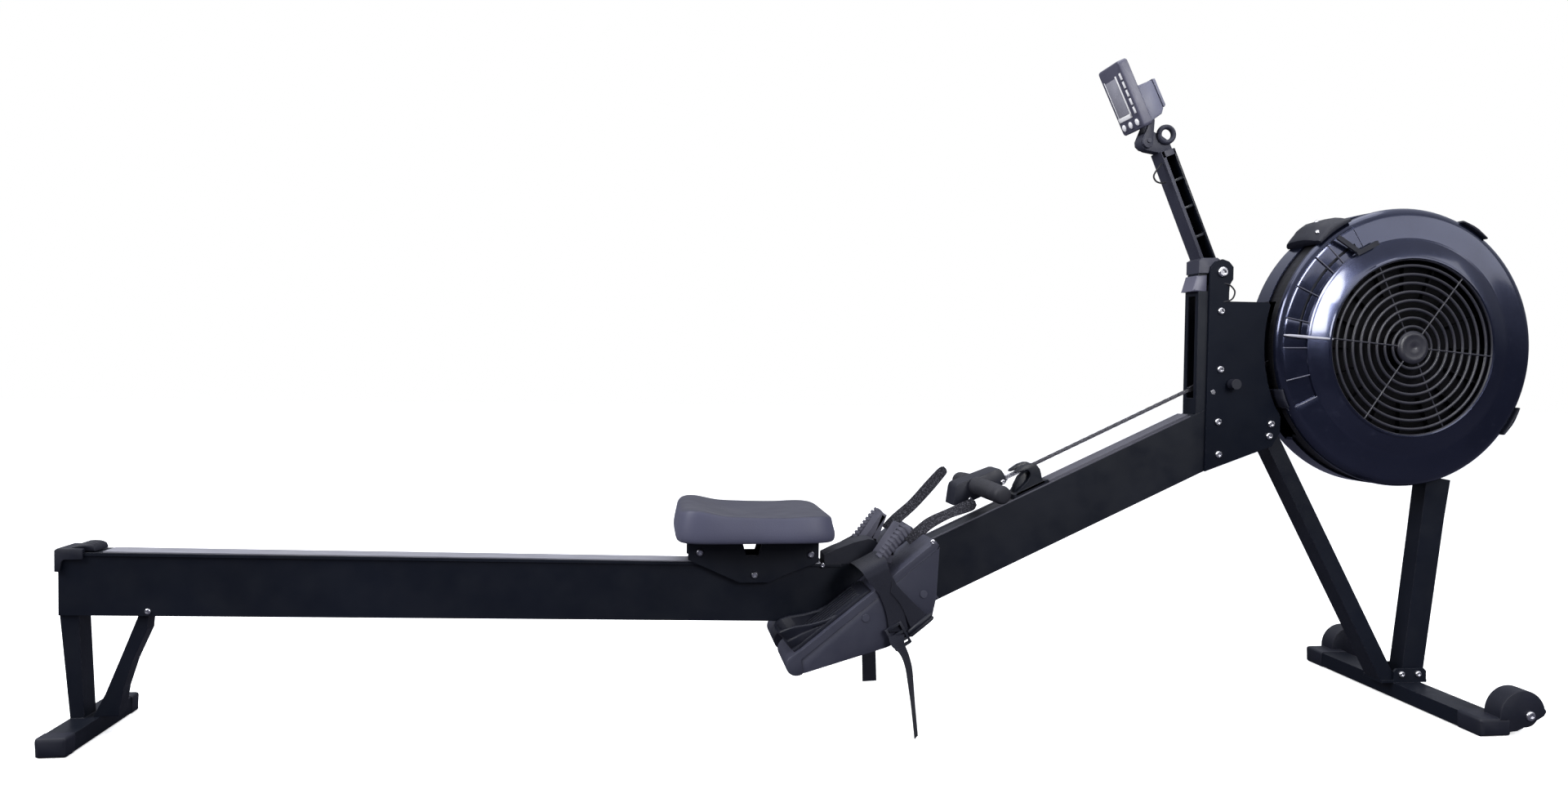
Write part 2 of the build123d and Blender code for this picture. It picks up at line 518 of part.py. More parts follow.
STRAP = 2.5
arch = slab([on_board(196, 14.3), on_board(196, 44), on_board(203.6, 48), on_board(203.6, 33), on_board(201, 30),
             on_board(201, 14.3)], -BOARD_INNER - 14, -BOARD_INNER - 3)
over = slab([on_board(170, 40), on_board(170, 44), on_board(203.6, 46), on_board(203.6, 42)], -126, -37)
outside = slab([on_board(168, 44), on_board(204, 46), (101, 190), (64, 152)], -BOARD_OUTER - 0.3 - STRAP,
               -BOARD_OUTER - 0.3)
outside += slab([on_board(170, 40), on_board(170, 44), on_board(203.6, 46), on_board(203.6, 42)],
                -BOARD_OUTER - 0.3 - STRAP, -125)
TAIL_Y = (-152.0, -149.0)
tail = slab([(67, 136), (91, 140), (97, 90), (104, 6), (84, 6), (80, 86)], TAIL_Y[0], TAIL_Y[1])
link = block(66, 90, TAIL_Y[0], -BOARD_OUTER - 0.3, 136, 139)
parts["foot_straps"] = both(arch + over + outside + tail + link)

buckle = bar((54, 138), (108, 176), 20, -BOARD_OUTER - 9, -BOARD_OUTER - 2.9)
buckle -= bar((66, 146), (74, 152), 12, -BOARD_OUTER - 20, -BOARD_OUTER)
buckle -= bar((84, 159), (94, 166), 12, -BOARD_OUTER - 20, -BOARD_OUTER)
parts["strap_buckles"] = both(buckle - slab([(60, 130), (95, 130), (95, 142), (60, 142)], -160, -100))


def tongue(points, y0, y1):
    """Curved strap end with an even thickness."""
    strip = bar(points[0], points[1], 3.2, y0, y1)
    for a, b in zip(points[1:], points[2:]):
        strip += bar(a, b, 3.2, y0, y1) + rod(b[0], b[1], 1.6, y0, y1)
        strip += rod(a[0], a[1], 1.6, y0, y1)
    return strip


far_tongue = tongue([(92, 300), (112, 331), (145, 362), (180, 401)], 50, 70)
near_tongue = tongue([(99, 302), (124, 313), (165, 336), (200, 347)], -56, -36)
parts["strap_tongues"] = group(far_tongue, near_tongue)

# ---- seat ---------------------------------------------------------------------------------------------
SEAT_HALF = 115.0
pad = slab([(-262, 303.5), (-56, 303.5), (-37, 308), (-44, 338), (-66, 350), (-110, 348), (-172, 344),
            (-225, 352), (-262, 362), (-276, 358), (-284, 338), (-286, 316)], -SEAT_HALF, SEAT_HALF)
pad = fillet(pad.edges().filter_by(Axis.X, reverse=True).group_by(Axis.Y)[0], 6)
pad = fillet(pad.edges().filter_by(Axis.X, reverse=True).group_by(Axis.Y)[-1], 6)
parts["seat_pad"] = pad

FRONT_ROLLER = (-64.0, rail_z(-64.0, -TRACK - 15.3))
REAR_ROLLER = (-245.0, rail_z(-245.0, -TRACK - 15.3))
GUIDE_RADIUS = 12.6
GUIDE_ROLLER = (-156.0, rail_z(-156.0, FLANGE + GUIDE_RADIUS + 0.4))
carriage = block(-262, -53, -60, 60, 299, 303.5)
carriage -= block(-178, -138, -14, 14, 290, 310)
cheek = slab([(-264, 303), (-264, 262), (-206, 236), (-180, 224), (-132, 224), (-110, 234), (-51, 256),
              (-51, 303)], -33, -28.5)
cheek -= slab([(-178, 296), (-142, 296), (-150, 268), (-170, 268)], -40, -20)
for x, z in (FRONT_ROLLER, REAR_ROLLER, GUIDE_ROLLER):
    cheek -= rod(x, z, 4, -40, -20)
parts["seat_carriage"] = carriage + cheek + mirrored(cheek)


def roller_pair(x, z):
    """Two coaxial rollers on one turning sleeve."""
    pair = ring(x, z, 15, 4, -15.5, -5.5) + ring(x, z, 15, 4, 5.5, 15.5)
    return pair + ring(x, z, 9, 4, -22, 22)


parts["front_seat_rollers"] = roller_pair(*FRONT_ROLLER)
parts["rear_seat_rollers"] = roller_pair(*REAR_ROLLER)
guide = ring(GUIDE_ROLLER[0], GUIDE_ROLLER[1], GUIDE_RADIUS, 4, -27.8, -RAIL_HALF - 0.4)
parts["guide_rollers"] = both(guide)
PIN = 4 - SEAT_GAP
long_pins = group(rod(*FRONT_ROLLER, PIN, -36, 36), rod(*REAR_ROLLER, PIN, -36, 36))
parts["roller_axles"] = group(long_pins, rod(*GUIDE_ROLLER, PIN, -36, -RAIL_HALF - 0.5),
                              rod(*GUIDE_ROLLER, PIN, RAIL_HALF + 0.5, 36))

# ---- monitor arm --------------------------------------------------------------------------------------
arm = slab([(532, 949), (557, 957), (638, 769), (611, 765)], -18, 18)
arm -= slab([(540, 932), (560, 940), (636, 762), (614, 775)], -15.5, 18.5)
knuckle = slab([(600, 744.5), (600, 767), (611, 771), (638, 772), (655, 761), (662, 750), (661, 738), (650, 730),
                (636, 731), (628, 738), (626, 744.5)], -22, 22)
arm += knuckle
TILT = (512.0, 968.0)
head = slab([(532, 949), (557, 957), (550, 968), (530, 972), (512, 978), (503, 972), (503, 962), (511, 958)],
            -10, 10)
arm += head
eye = ring(544, 980, 16, 9, -18, -6)
arm += eye
arm -= rod(PIVOT[0], PIVOT[1], 6 + RUNNING_GAP, -30, 30)
arm -= rod(TILT[0], TILT[1], 4 + RUNNING_GAP, -30, 30)
parts["monitor_arm"] = arm

FACE_TOP = (441.0, 1092.0)
FACE_BOTTOM = (492.0, 985.0)
MONITOR_HALF = 39.0
face_length = math.hypot(FACE_BOTTOM[0] - FACE_TOP[0], FACE_BOTTOM[1] - FACE_TOP[1])
along = ((FACE_BOTTOM[0] - FACE_TOP[0]) / face_length, (FACE_BOTTOM[1] - FACE_TOP[1]) / face_length)
back = (-along[1], along[0])


def on_monitor(down, deep):
    """XZ point at a distance down the monitor's face and a depth behind it."""
    return (FACE_TOP[0] + down * along[0] + deep * back[0], FACE_TOP[1] + down * along[1] + deep * back[1])


def monitor_slab(d0, d1, e0, e1, y0, y1):
    return slab([on_monitor(d0, e0), on_monitor(d1, e0), on_monitor(d1, e1), on_monitor(d0, e1)], y0, y1)


case = monitor_slab(0, face_length, 0, 18.5, -MONITOR_HALF, MONITOR_HALF)
SCREEN = (16.0, 78.0, -12.0, 27.0)            # down from, down to, y from, y to
case -= monitor_slab(SCREEN[0], SCREEN[1], -5, 2.0, SCREEN[2], SCREEN[3])
BUTTON_DOWN = 106.0
BUTTON_RADIUS = 5.0
button_rotation = math.degrees(math.atan2(back[0], back[1]))
BUTTON_YS = (24.0, 0.0, -24.0)


def face_pin(y, radius, e0, e1):
    """Short cylinder square to the monitor's face."""
    x, z = on_monitor(BUTTON_DOWN, (e0 + e1) / 2)
    return Pos(x, y, z) * Rot(0, button_rotation, 0) * Cylinder(radius, e1 - e0)


for y in BUTTON_YS:
    case -= face_pin(y, BUTTON_RADIUS + 0.4, -5, 6)
parts["monitor_case"] = case
parts["monitor_screen"] = monitor_slab(SCREEN[0], SCREEN[1], 0.6, 2.0, SCREEN[2], SCREEN[3])
for name, y in zip(("menu_button", "units_button", "power_button"), BUTTON_YS):
    parts[name] = face_pin(y, BUTTON_RADIUS, -1.8, 3.2)
box = slab([on_monitor(34, 18.5), on_monitor(36, 50), on_monitor(94, 50), on_monitor(104, 40),
            on_monitor(112, 18.5)], -28, 28)
ears = slab([on_monitor(90, 20), on_monitor(90, 38), on_monitor(115, 34), (519, 964), (517, 958),
             (508, 956), (501, 962), (500, 970), on_monitor(118, 20)], -16, -10.3)
ears -= rod(TILT[0], TILT[1], 4, -30, 30)
parts["monitor_back"] = box + ears + mirrored(ears) + rod(TILT[0], TILT[1], 4, -18, 18)

# ---- fasteners ----------------------------------------------------------------------------------------
def bolt(x, z, head_radius=6.5, head=4.0):
    """Bolt through the side plates with a domed head on each side."""
    shaft = rod(x, z, 4 - SEAT_GAP, -PLATE_OUTER - 0.5, PLATE_OUTER + 0.5)
    near = rod(x, z, head_radius, -PLATE_OUTER - head, -PLATE_OUTER)
    return shaft + near + mirrored(near)


bolts = [bolt(x, z) for x, z in [*UPRIGHT_BOLTS, *BEAM_BOLTS, (740, 487), (737, 466)]]
pivot_bolt = (rod(PIVOT[0], PIVOT[1], 6, -22.3, 22.3)
              + rod(PIVOT[0], PIVOT[1], 4 - SEAT_GAP, -PLATE_OUTER - 0.5, PLATE_OUTER + 0.5))
near_head = rod(PIVOT[0], PIVOT[1], 9.5, -PLATE_OUTER - 6, -PLATE_OUTER)
pivot_bolt += near_head + mirrored(near_head)
knob = rod(KNOB[0], KNOB[1], 5 - RUNNING_GAP, -40, PLATE_INNER - 46) + rod(KNOB[0], KNOB[1], 9, -46, -31)
parts["locking_knob"] = knob
leg_bolts = []
for x, z in LEG_BOLTS:
    leg_bolt_head = rod(x, z, 6, -28, -24.5)
    leg_bolts.append(rod(x, z, 4 - SEAT_GAP, -25, 25) + leg_bolt_head + mirrored(leg_bolt_head))
parts["frame_bolts"] = group(*bolts, pivot_bolt, *leg_bolts)


# ---- write --------------------------------------------------------------------------------------------
for name, shape in parts.items():
    export_step(Pos(CENTRING, 0, 0) * shape, os.path.join("parts", name + ".step"))
print(len(parts), "nodes")
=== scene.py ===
import json
from math import copysign, cos, dist, exp, hypot, pi, radians, sin, sqrt, tau

import bmesh
import bpy
from mathutils import Matrix, Vector
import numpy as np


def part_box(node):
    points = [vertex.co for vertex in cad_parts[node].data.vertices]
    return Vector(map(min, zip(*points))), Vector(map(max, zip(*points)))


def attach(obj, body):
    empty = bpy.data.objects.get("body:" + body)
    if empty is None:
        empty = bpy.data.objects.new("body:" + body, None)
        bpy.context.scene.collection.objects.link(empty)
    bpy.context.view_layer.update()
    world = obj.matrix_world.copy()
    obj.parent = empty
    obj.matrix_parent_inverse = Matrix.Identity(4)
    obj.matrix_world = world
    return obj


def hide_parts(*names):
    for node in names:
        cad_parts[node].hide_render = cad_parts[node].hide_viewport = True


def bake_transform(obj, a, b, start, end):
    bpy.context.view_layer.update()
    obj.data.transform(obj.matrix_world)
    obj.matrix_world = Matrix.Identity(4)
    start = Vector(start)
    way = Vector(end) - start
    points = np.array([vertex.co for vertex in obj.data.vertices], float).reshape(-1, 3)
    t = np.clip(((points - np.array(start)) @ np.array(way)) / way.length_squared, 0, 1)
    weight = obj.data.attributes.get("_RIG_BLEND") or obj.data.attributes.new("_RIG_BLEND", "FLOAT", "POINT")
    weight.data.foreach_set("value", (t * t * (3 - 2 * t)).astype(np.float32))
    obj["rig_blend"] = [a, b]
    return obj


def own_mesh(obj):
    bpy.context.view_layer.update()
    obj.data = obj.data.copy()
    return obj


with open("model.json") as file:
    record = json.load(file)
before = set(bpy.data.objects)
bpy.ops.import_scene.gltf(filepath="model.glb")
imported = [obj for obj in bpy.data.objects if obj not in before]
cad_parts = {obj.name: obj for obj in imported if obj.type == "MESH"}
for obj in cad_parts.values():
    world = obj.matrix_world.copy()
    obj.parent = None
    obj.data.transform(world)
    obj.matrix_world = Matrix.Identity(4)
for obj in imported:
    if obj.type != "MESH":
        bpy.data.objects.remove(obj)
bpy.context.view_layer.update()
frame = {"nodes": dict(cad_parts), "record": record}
NODES = frame["nodes"]
MM = 0.001


# ---- materials ----
class Finish:
    """One procedural material: a Principled shader and the nodes that feed it."""

    def __init__(self, name, **sockets):
        self.material = bpy.data.materials.new(name)
        self.material.use_nodes = True
        self.tree = self.material.node_tree
        self.shader = self.tree.nodes["Principled BSDF"]
        self.place = self.node("TexCoord").outputs["Object"]
        self.normal = None
        for socket, value in sockets.items():
            self.feed(self.shader.inputs[socket.replace("_", " ")], value)

    def node(self, kind, inputs=None, **settings):
        node = self.tree.nodes.new("ShaderNode" + kind)
        for key, value in settings.items():
            setattr(node, key, value)
        for key, value in (inputs or {}).items():
            self.feed(node.inputs[key], value)
        return node

    def feed(self, socket, value):
        if isinstance(value, bpy.types.NodeSocket):
            self.tree.links.new(value, socket)
        else:
            socket.default_value = (*value, 1.0) if socket.type == "RGBA" else value

    def noise(self, scale, detail=3.0, roughness=0.55, place=None):
        node = self.node("TexNoise", {"Vector": place or self.place, "Scale": scale,
                                      "Detail": detail, "Roughness": roughness})
        return node.outputs["Fac"]

    def stretch(self, x, y, z):
        """The place, scaled differently along each axis."""
        return self.node("VectorMath", {0: self.place, 1: (x, y, z)}, operation="MULTIPLY").outputs[0]

    def remap(self, value, low, high, to_low=0.0, to_high=1.0):
        node = self.node("MapRange", {"Value": value, "From Min": low, "From Max": high,
                                      "To Min": to_low, "To Max": to_high})
        return node.outputs["Result"]

    def varied(self, scale, detail, low=0.0, high=1.0):
        """Value that drifts between low and high over the surface."""
        return self.remap(self.noise(scale, detail), 0.3, 0.7, low, high)

    def math(self, operation, *values):
        return self.node("Math", dict(enumerate(values)), operation=operation).outputs[0]

    def mix(self, factor, first, second):
        node = self.node("Mix", data_type="RGBA")
        for key, value in ((0, factor), (6, first), (7, second)):
            self.feed(node.inputs[key], value)
        return node.outputs[2]

    def clouded(self, scale, detail, first, second):
        """Colour that drifts between two colours over the surface."""
        return self.mix(self.varied(scale, detail), first, second)

    def colour(self, value):
        self.feed(self.shader.inputs["Base Color"], value)

    def roughness(self, value):
        self.feed(self.shader.inputs["Roughness"], value)

    def rounded_edges(self, radius):
        """Edges catch the light as if they had a small radius."""
        self.normal = self.node("Bevel", {"Radius": radius}, samples=4).outputs[0]

    def bump(self, height, strength, distance):
        inputs = {"Height": height, "Strength": strength, "Distance": distance}
        if self.normal is not None:
            inputs["Normal"] = self.normal
        self.normal = self.node("Bump", inputs).outputs[0]

    def edge_wear(self, radius):
        """Mask that is 1 on sharp outer edges, broken up by noise."""
        bevel = self.node("Bevel", {"Radius": radius}, samples=4).outputs[0]
        flat = self.node("NewGeometry").outputs["Normal"]
        facing = self.node("VectorMath", {0: bevel, 1: flat}, operation="DOT_PRODUCT").outputs["Value"]
        edge = self.remap(facing, 0.95, 0.6)
        return self.math("MULTIPLY", edge, self.remap(self.noise(180.0), 0.45, 0.62))

    def done(self):
        if self.normal is not None:
            self.feed(self.shader.inputs["Normal"], self.normal)
        return self.material


def painted_steel(name="satin_black_steel", shine=0.2):
    f = Finish(name, Metallic=0.0, Specular_IOR_Level=shine, Coat_Weight=0.05, Coat_Roughness=0.25)
    body = f.clouded(3.5, 4.0, (0.0030, 0.0042, 0.0080), (0.0048, 0.0064, 0.0120))
    f.colour(f.mix(f.edge_wear(0.0012), body, (0.055, 0.055, 0.07)))
    f.roughness(f.varied(26.0, 5.0, 0.33, 0.5))
    f.rounded_edges(0.0012)
    f.bump(f.noise(1400.0, 2.0), 0.16, 0.0004)
    return f.done()


def moulded_plastic(name, dark, light, low, high, depth=0.35, wear=(0.05, 0.05, 0.06), shine=0.45):
    f = Finish(name, Specular_IOR_Level=shine)
    f.colour(f.mix(f.edge_wear(0.0008), f.clouded(9.0, 4.0, dark, light), wear))
    f.roughness(f.varied(40.0, 5.0, low, high))
    f.rounded_edges(0.0008)
    f.bump(f.noise(900.0, 2.0), depth, 0.0003)
    return f.done()


def cage_plastic():
    """Glossy moulding with slight flow marks and dust."""
    f = Finish("cage_gloss_plastic", Specular_IOR_Level=0.62, Coat_Weight=0.6, Coat_Roughness=0.09,
               Coat_Tint=(0.7, 0.75, 1.0), Specular_Tint=(0.6, 0.66, 1.0))
    dust = f.remap(f.noise(60.0, 6.0, 0.7), 0.58, 0.78)
    body = f.clouded(4.0, 3.0, (0.0030, 0.0036, 0.0068), (0.0045, 0.0053, 0.0100))
    f.colour(f.mix(f.math("MULTIPLY", dust, 0.2), body, (0.05, 0.052, 0.065)))
    f.roughness(f.varied(14.0, 5.0, 0.16, 0.26))
    f.rounded_edges(0.001)
    f.bump(f.noise(22.0, 2.0), 0.05, 0.002)
    f.bump(f.noise(1100.0, 2.0), 0.05, 0.0003)
    return f.done()


def brushed_track():
    """Light anodised running strip, brushed along the rail, with faint roller marks."""
    f = Finish("brushed_track", Metallic=0.85)
    brushed = f.noise(1.0, 5.0, place=f.stretch(12.0, 900.0, 900.0))
    f.colour(f.mix(f.remap(brushed, 0.3, 0.7), (0.36, 0.36, 0.41), (0.52, 0.52, 0.57)))
    f.roughness(f.remap(brushed, 0.3, 0.7, 0.3, 0.5))
    f.bump(brushed, 0.12, 0.0003)
    return f.done()


def bright_steel(name, colour, low, high, metallic=1.0):
    f = Finish(name, Metallic=metallic)
    stain = f.remap(f.noise(220.0, 5.0), 0.35, 0.75)
    f.colour(f.mix(stain, colour, [c * 0.62 for c in colour]))
    f.roughness(f.varied(500.0, 4.0, low, high))
    f.rounded_edges(0.0006)
    f.bump(f.noise(900.0, 3.0), 0.12, 0.0002)
    return f.done()


def rubber(name, dark, light):
    f = Finish(name, Specular_IOR_Level=0.35)
    f.colour(f.clouded(30.0, 5.0, dark, light))
    f.roughness(f.varied(60.0, 4.0, 0.55, 0.75))
    f.rounded_edges(0.0008)
    f.bump(f.noise(700.0, 3.0), 0.5, 0.0004)
    return f.done()


def seat_skin():
    """Moulded urethane skin: fine leather-like grain, with painted shade that darkens the faces which look
    upward.
    """
    f = Finish("seat_skin", Specular_IOR_Level=0.22, Sheen_Weight=0.03)
    body = f.clouded(6.0, 5.0, (0.050, 0.051, 0.080), (0.062, 0.064, 0.100))
    upward = f.node("SeparateXYZ", {0: f.node("NewGeometry").outputs["Normal"]}).outputs[2]
    # painted shade: faces that look upward are mixed towards a darker colour, to tone down the top under the
    # overhead light
    f.colour(f.mix(f.remap(upward, 0.3, 0.9), body, (0.027, 0.028, 0.043)))
    cells = f.node("TexVoronoi", {"Vector": f.place, "Scale": 620.0}, feature="SMOOTH_F1")
    f.roughness(f.varied(11.0, 4.0, 0.42, 0.6))
    f.bump(cells.outputs["Distance"], 0.22, 0.0004)
    f.bump(f.noise(60.0, 3.0), 0.08, 0.0008)
    return f.done()


def webbing():
    """Woven strap: a fine basket of crossing threads."""
    f = Finish("webbing", Specular_IOR_Level=0.15, Sheen_Weight=0.06, Sheen_Roughness=0.5, Roughness=0.85)
    thread_pitch = 0.0016
    wave = tau / thread_pitch
    x, y, z = (f.node("SeparateXYZ", {0: f.place}).outputs[i] for i in range(3))
    along = f.math("SINE", f.math("MULTIPLY", f.math("ADD", x, z), wave))
    across = f.math("SINE", f.math("MULTIPLY", f.math("ADD", y, f.math("MULTIPLY", x, 0.6)), wave))
    weave = f.remap(f.math("MULTIPLY", along, across), -1.0, 1.0)
    fluff = f.noise(1500.0, 2.0)
    thread = f.math("ADD", f.math("MULTIPLY", weave, 0.8), f.math("MULTIPLY", fluff, 0.3))
    f.colour(f.mix(thread, (0.004, 0.0045, 0.008), (0.017, 0.018, 0.028)))
    f.bump(thread, 0.7, 0.0005)
    return f.done()


def woven_tail():
    """Softer strap end with pale flecks in the weave."""
    f = Finish("woven_tail", Specular_IOR_Level=0.2, Sheen_Weight=0.1, Roughness=0.85)
    fleck = f.remap(f.noise(420.0, 3.0, 0.7), 0.5, 0.62)
    f.colour(f.mix(fleck, (0.006, 0.006, 0.010), (0.055, 0.055, 0.070)))
    f.bump(fleck, 0.8, 0.0006)
    return f.done()


def perforated_steel():
    """Band with rows of small round holes, seen as dark dimples."""
    f = Finish("perforated_band", Metallic=0.6, Roughness=0.5)
    cells = f.node("TexVoronoi", {"Vector": f.place, "Scale": 260.0, "Randomness": 0.0}, feature="F1")
    hole = f.remap(cells.outputs["Distance"], 0.28, 0.34)
    f.colour(f.mix(hole, (0.001, 0.001, 0.001), (0.012, 0.012, 0.015)))
    f.bump(hole, 0.8, 0.0008)
    return f.done()


def screen_glass():
    """Grey liquid-crystal panel under a clear glossy lens."""
    f = Finish("lcd_screen", Specular_IOR_Level=0.5, Coat_Weight=1.0, Coat_Roughness=0.05)
    f.colour(f.clouded(40.0, 2.0, (0.30, 0.30, 0.35), (0.37, 0.37, 0.43)))
    f.roughness(f.varied(300.0, 3.0, 0.2, 0.3))
    return f.done()


MATERIALS = {
    "frame_steel": painted_steel(),
    "plate_steel": painted_steel("plate_black_steel", 0.06),
    "track_steel": brushed_track(),
    "grey_rubber": rubber("grey_rubber", (0.038, 0.038, 0.055), (0.058, 0.058, 0.080)),
    "grip_rubber": rubber("grip_rubber", (0.009, 0.0095, 0.014), (0.015, 0.0155, 0.022)),
    "tyre": rubber("tyre", (0.008, 0.008, 0.011), (0.014, 0.014, 0.018)),
    "webbing": webbing(),
    "woven_tail": woven_tail(),
    "cage_plastic": cage_plastic(),
    "mesh_steel": perforated_steel(),
    "bright_steel": bright_steel("bright_steel", (0.66, 0.66, 0.7), 0.18, 0.34),
    "zinc_steel": bright_steel("zinc_steel", (0.34, 0.34, 0.38), 0.25, 0.4),
    "chain_steel": bright_steel("chain_steel", (0.10, 0.10, 0.115), 0.3, 0.5, 0.9),
    "seat_vinyl": seat_skin(),
    "screen": screen_glass(),
}
# name: darker and lighter colour, lowest and highest roughness, and what else sets it apart
MOULDINGS = {
    "moulded_plastic": ((0.0055, 0.0065, 0.0120), (0.0085, 0.0095, 0.0175), 0.42, 0.6,
                        {"wear": (0.03, 0.03, 0.038), "shine": 0.3}),
    "foot_plastic": ((0.021, 0.022, 0.038), (0.029, 0.031, 0.050), 0.5, 0.68, {}),
    # cage_rib_highlight is much lighter than the cage moulding the ribs belong to: painted highlight along
    # the louvre ribs
    "cage_rib_highlight": ((0.05, 0.052, 0.075), (0.08, 0.082, 0.11), 0.15, 0.25, {}),
    # painted_highlight_rib is a light grey on a part of the black cage moulding: painted highlight along the
    # long rib
    "painted_highlight_rib": ((0.30, 0.30, 0.35), (0.38, 0.38, 0.43), 0.15, 0.25, {}),
    "grille_plastic": ((0.013, 0.013, 0.019), (0.018, 0.018, 0.026), 0.32, 0.46, {}),
    # fan_steel is darker than the black paint: partly the fan's own black, partly painted shade for the fan
    # deep inside the cage
    "fan_steel": ((0.0015, 0.0015, 0.002), (0.003, 0.003, 0.004), 0.5, 0.65,
                  {"wear": (0.01, 0.01, 0.012), "shine": 0.06}),
    "roller_nylon": ((0.03, 0.03, 0.035), (0.05, 0.05, 0.055), 0.3, 0.45, {}),
    "monitor_plastic": ((0.070, 0.070, 0.105), (0.090, 0.090, 0.130), 0.38, 0.5, {"depth": 0.1}),
    "monitor_rear": ((0.115, 0.12, 0.175), (0.145, 0.15, 0.21), 0.4, 0.52, {"depth": 0.1}),
    "button_white": ((0.88, 0.88, 0.9), (0.93, 0.93, 0.95), 0.3, 0.4, {"wear": (0.95, 0.95, 0.96)}),
    "cover_plastic": ((0.045, 0.045, 0.060), (0.060, 0.060, 0.080), 0.4, 0.5, {}),
}
for name, (dark, light, low, high, extra) in MOULDINGS.items():
    MATERIALS[name] = moulded_plastic(name, dark, light, low, high, **extra)


def paint(piece, name):
    piece.data.materials.clear()
    piece.data.materials.append(MATERIALS[name])


for part in frame["record"]["subparts"]:
    paint(NODES[part["node"]], part["material_slot"])
paint(NODES["footrest_rods"], "foot_plastic")
paint(NODES["side_plates"], "plate_steel")


# ---- building meshes ----
# Outlines are in millimetres, as X and Z in the machine's middle plane, before it is centred.
CENTRING = -5.15
RAIL_TOP, RAIL_FALL = 250.7, 0.026
BEAM_TOP, BEAM_RISE = 225.6, 0.4586
WHEEL_X, WHEEL_Z = 977.9, 622.3
BOARD_SLOPE = 38.35
BOARD_ANGLE = radians(BOARD_SLOPE)
HEEL_X, HEEL_Z = -101.6, 112.7


def at(x, y, z):
    return Vector(((x + CENTRING) * MM, y * MM, z * MM))


def across(point, y):
    """Point of the drawing's plane, moved a distance y across the machine."""
    return at(point[0], y, point[1])


def circle_of(cx, cz, radius, degrees):
    """Points of a circle in the drawing, at some angles."""
    return [(cx + radius * cos(radians(a)), cz + radius * sin(radians(a))) for a in degrees]


def rounded(*corners):
    """Outline with round corners, each given as its centre, its radius and the angle it starts at."""
    outline = []
    for x, z, radius, start in corners:
        outline += circle_of(x, z, radius, [start + 22.5 * k for k in range(5)])
    return outline


def line_of(place, *pairs):
    """Outline whose points are given in the terms of a function such as on_board."""
    return [place(*pair) for pair in pairs]


def rail_z(x, depth=0):
    return RAIL_TOP - RAIL_FALL * x - depth


def beam_z(x, depth=0):
    return BEAM_TOP + BEAM_RISE * x - depth * sqrt(1 + BEAM_RISE ** 2)


def on_wheel(radius, degrees):
    a = radians(degrees)
    return WHEEL_X + radius * cos(a), WHEEL_Z + radius * sin(a)


def on_board(s, n):
    """XZ point at s along the footboard from the heel and n square to it."""
    c, d = cos(BOARD_ANGLE), sin(BOARD_ANGLE)
    return HEEL_X + s * c - n * d, HEEL_Z + s * d + n * c


def turns(count, start=0):
    """Angles evenly spaced round a full turn."""
    return [tau * (k + start) / count for k in range(count)]


def about(axis):
    """Unit vector along an axis, and the unit vector square to it at an angle."""
    axis = Vector(axis).normalized()
    side = axis.orthogonal().normalized()
    other = axis.cross(side)
    return axis, lambda a: side * cos(a) + other * sin(a)


def spline(points, steps):
    """Smooth line through a few points, as a list of vectors."""
    points = [Vector(p) for p in points]
    ends = [2 * points[0] - points[1], *points, 2 * points[-1] - points[-2]]
    line = []
    for i in range(1, len(ends) - 2):
        a, b, c, d = ends[i - 1:i + 3]
        for k in range(steps):
            t = k / steps
            line.append(0.5 * (2 * b + (c - a) * t + (2 * a - 5 * b + 4 * c - d) * t * t
                               + (3 * b - a - 3 * c + d) * t ** 3))
    return line + [points[-1]]


def smooth_value(table, u):
    """Value at u on a smooth curve through (u, value) pairs."""
    for i in range(len(table) - 1):
        if u <= table[i + 1][0] or i == len(table) - 2:
            (u0, v0), (u1, v1) = table[i], table[i + 1]
            before, after = table[max(i - 1, 0)], table[min(i + 2, len(table) - 1)]
            m0 = (v1 - before[1]) / (u1 - before[0])
            m1 = (after[1] - v0) / (after[0] - u0)
            h = u1 - u0
            t = min(max((u - u0) / h, 0), 1)
            return ((2 * t ** 3 - 3 * t * t + 1) * v0 + (t ** 3 - 2 * t * t + t) * h * m0
                    + (3 * t * t - 2 * t ** 3) * v1 + (t ** 3 - t * t) * h * m1)


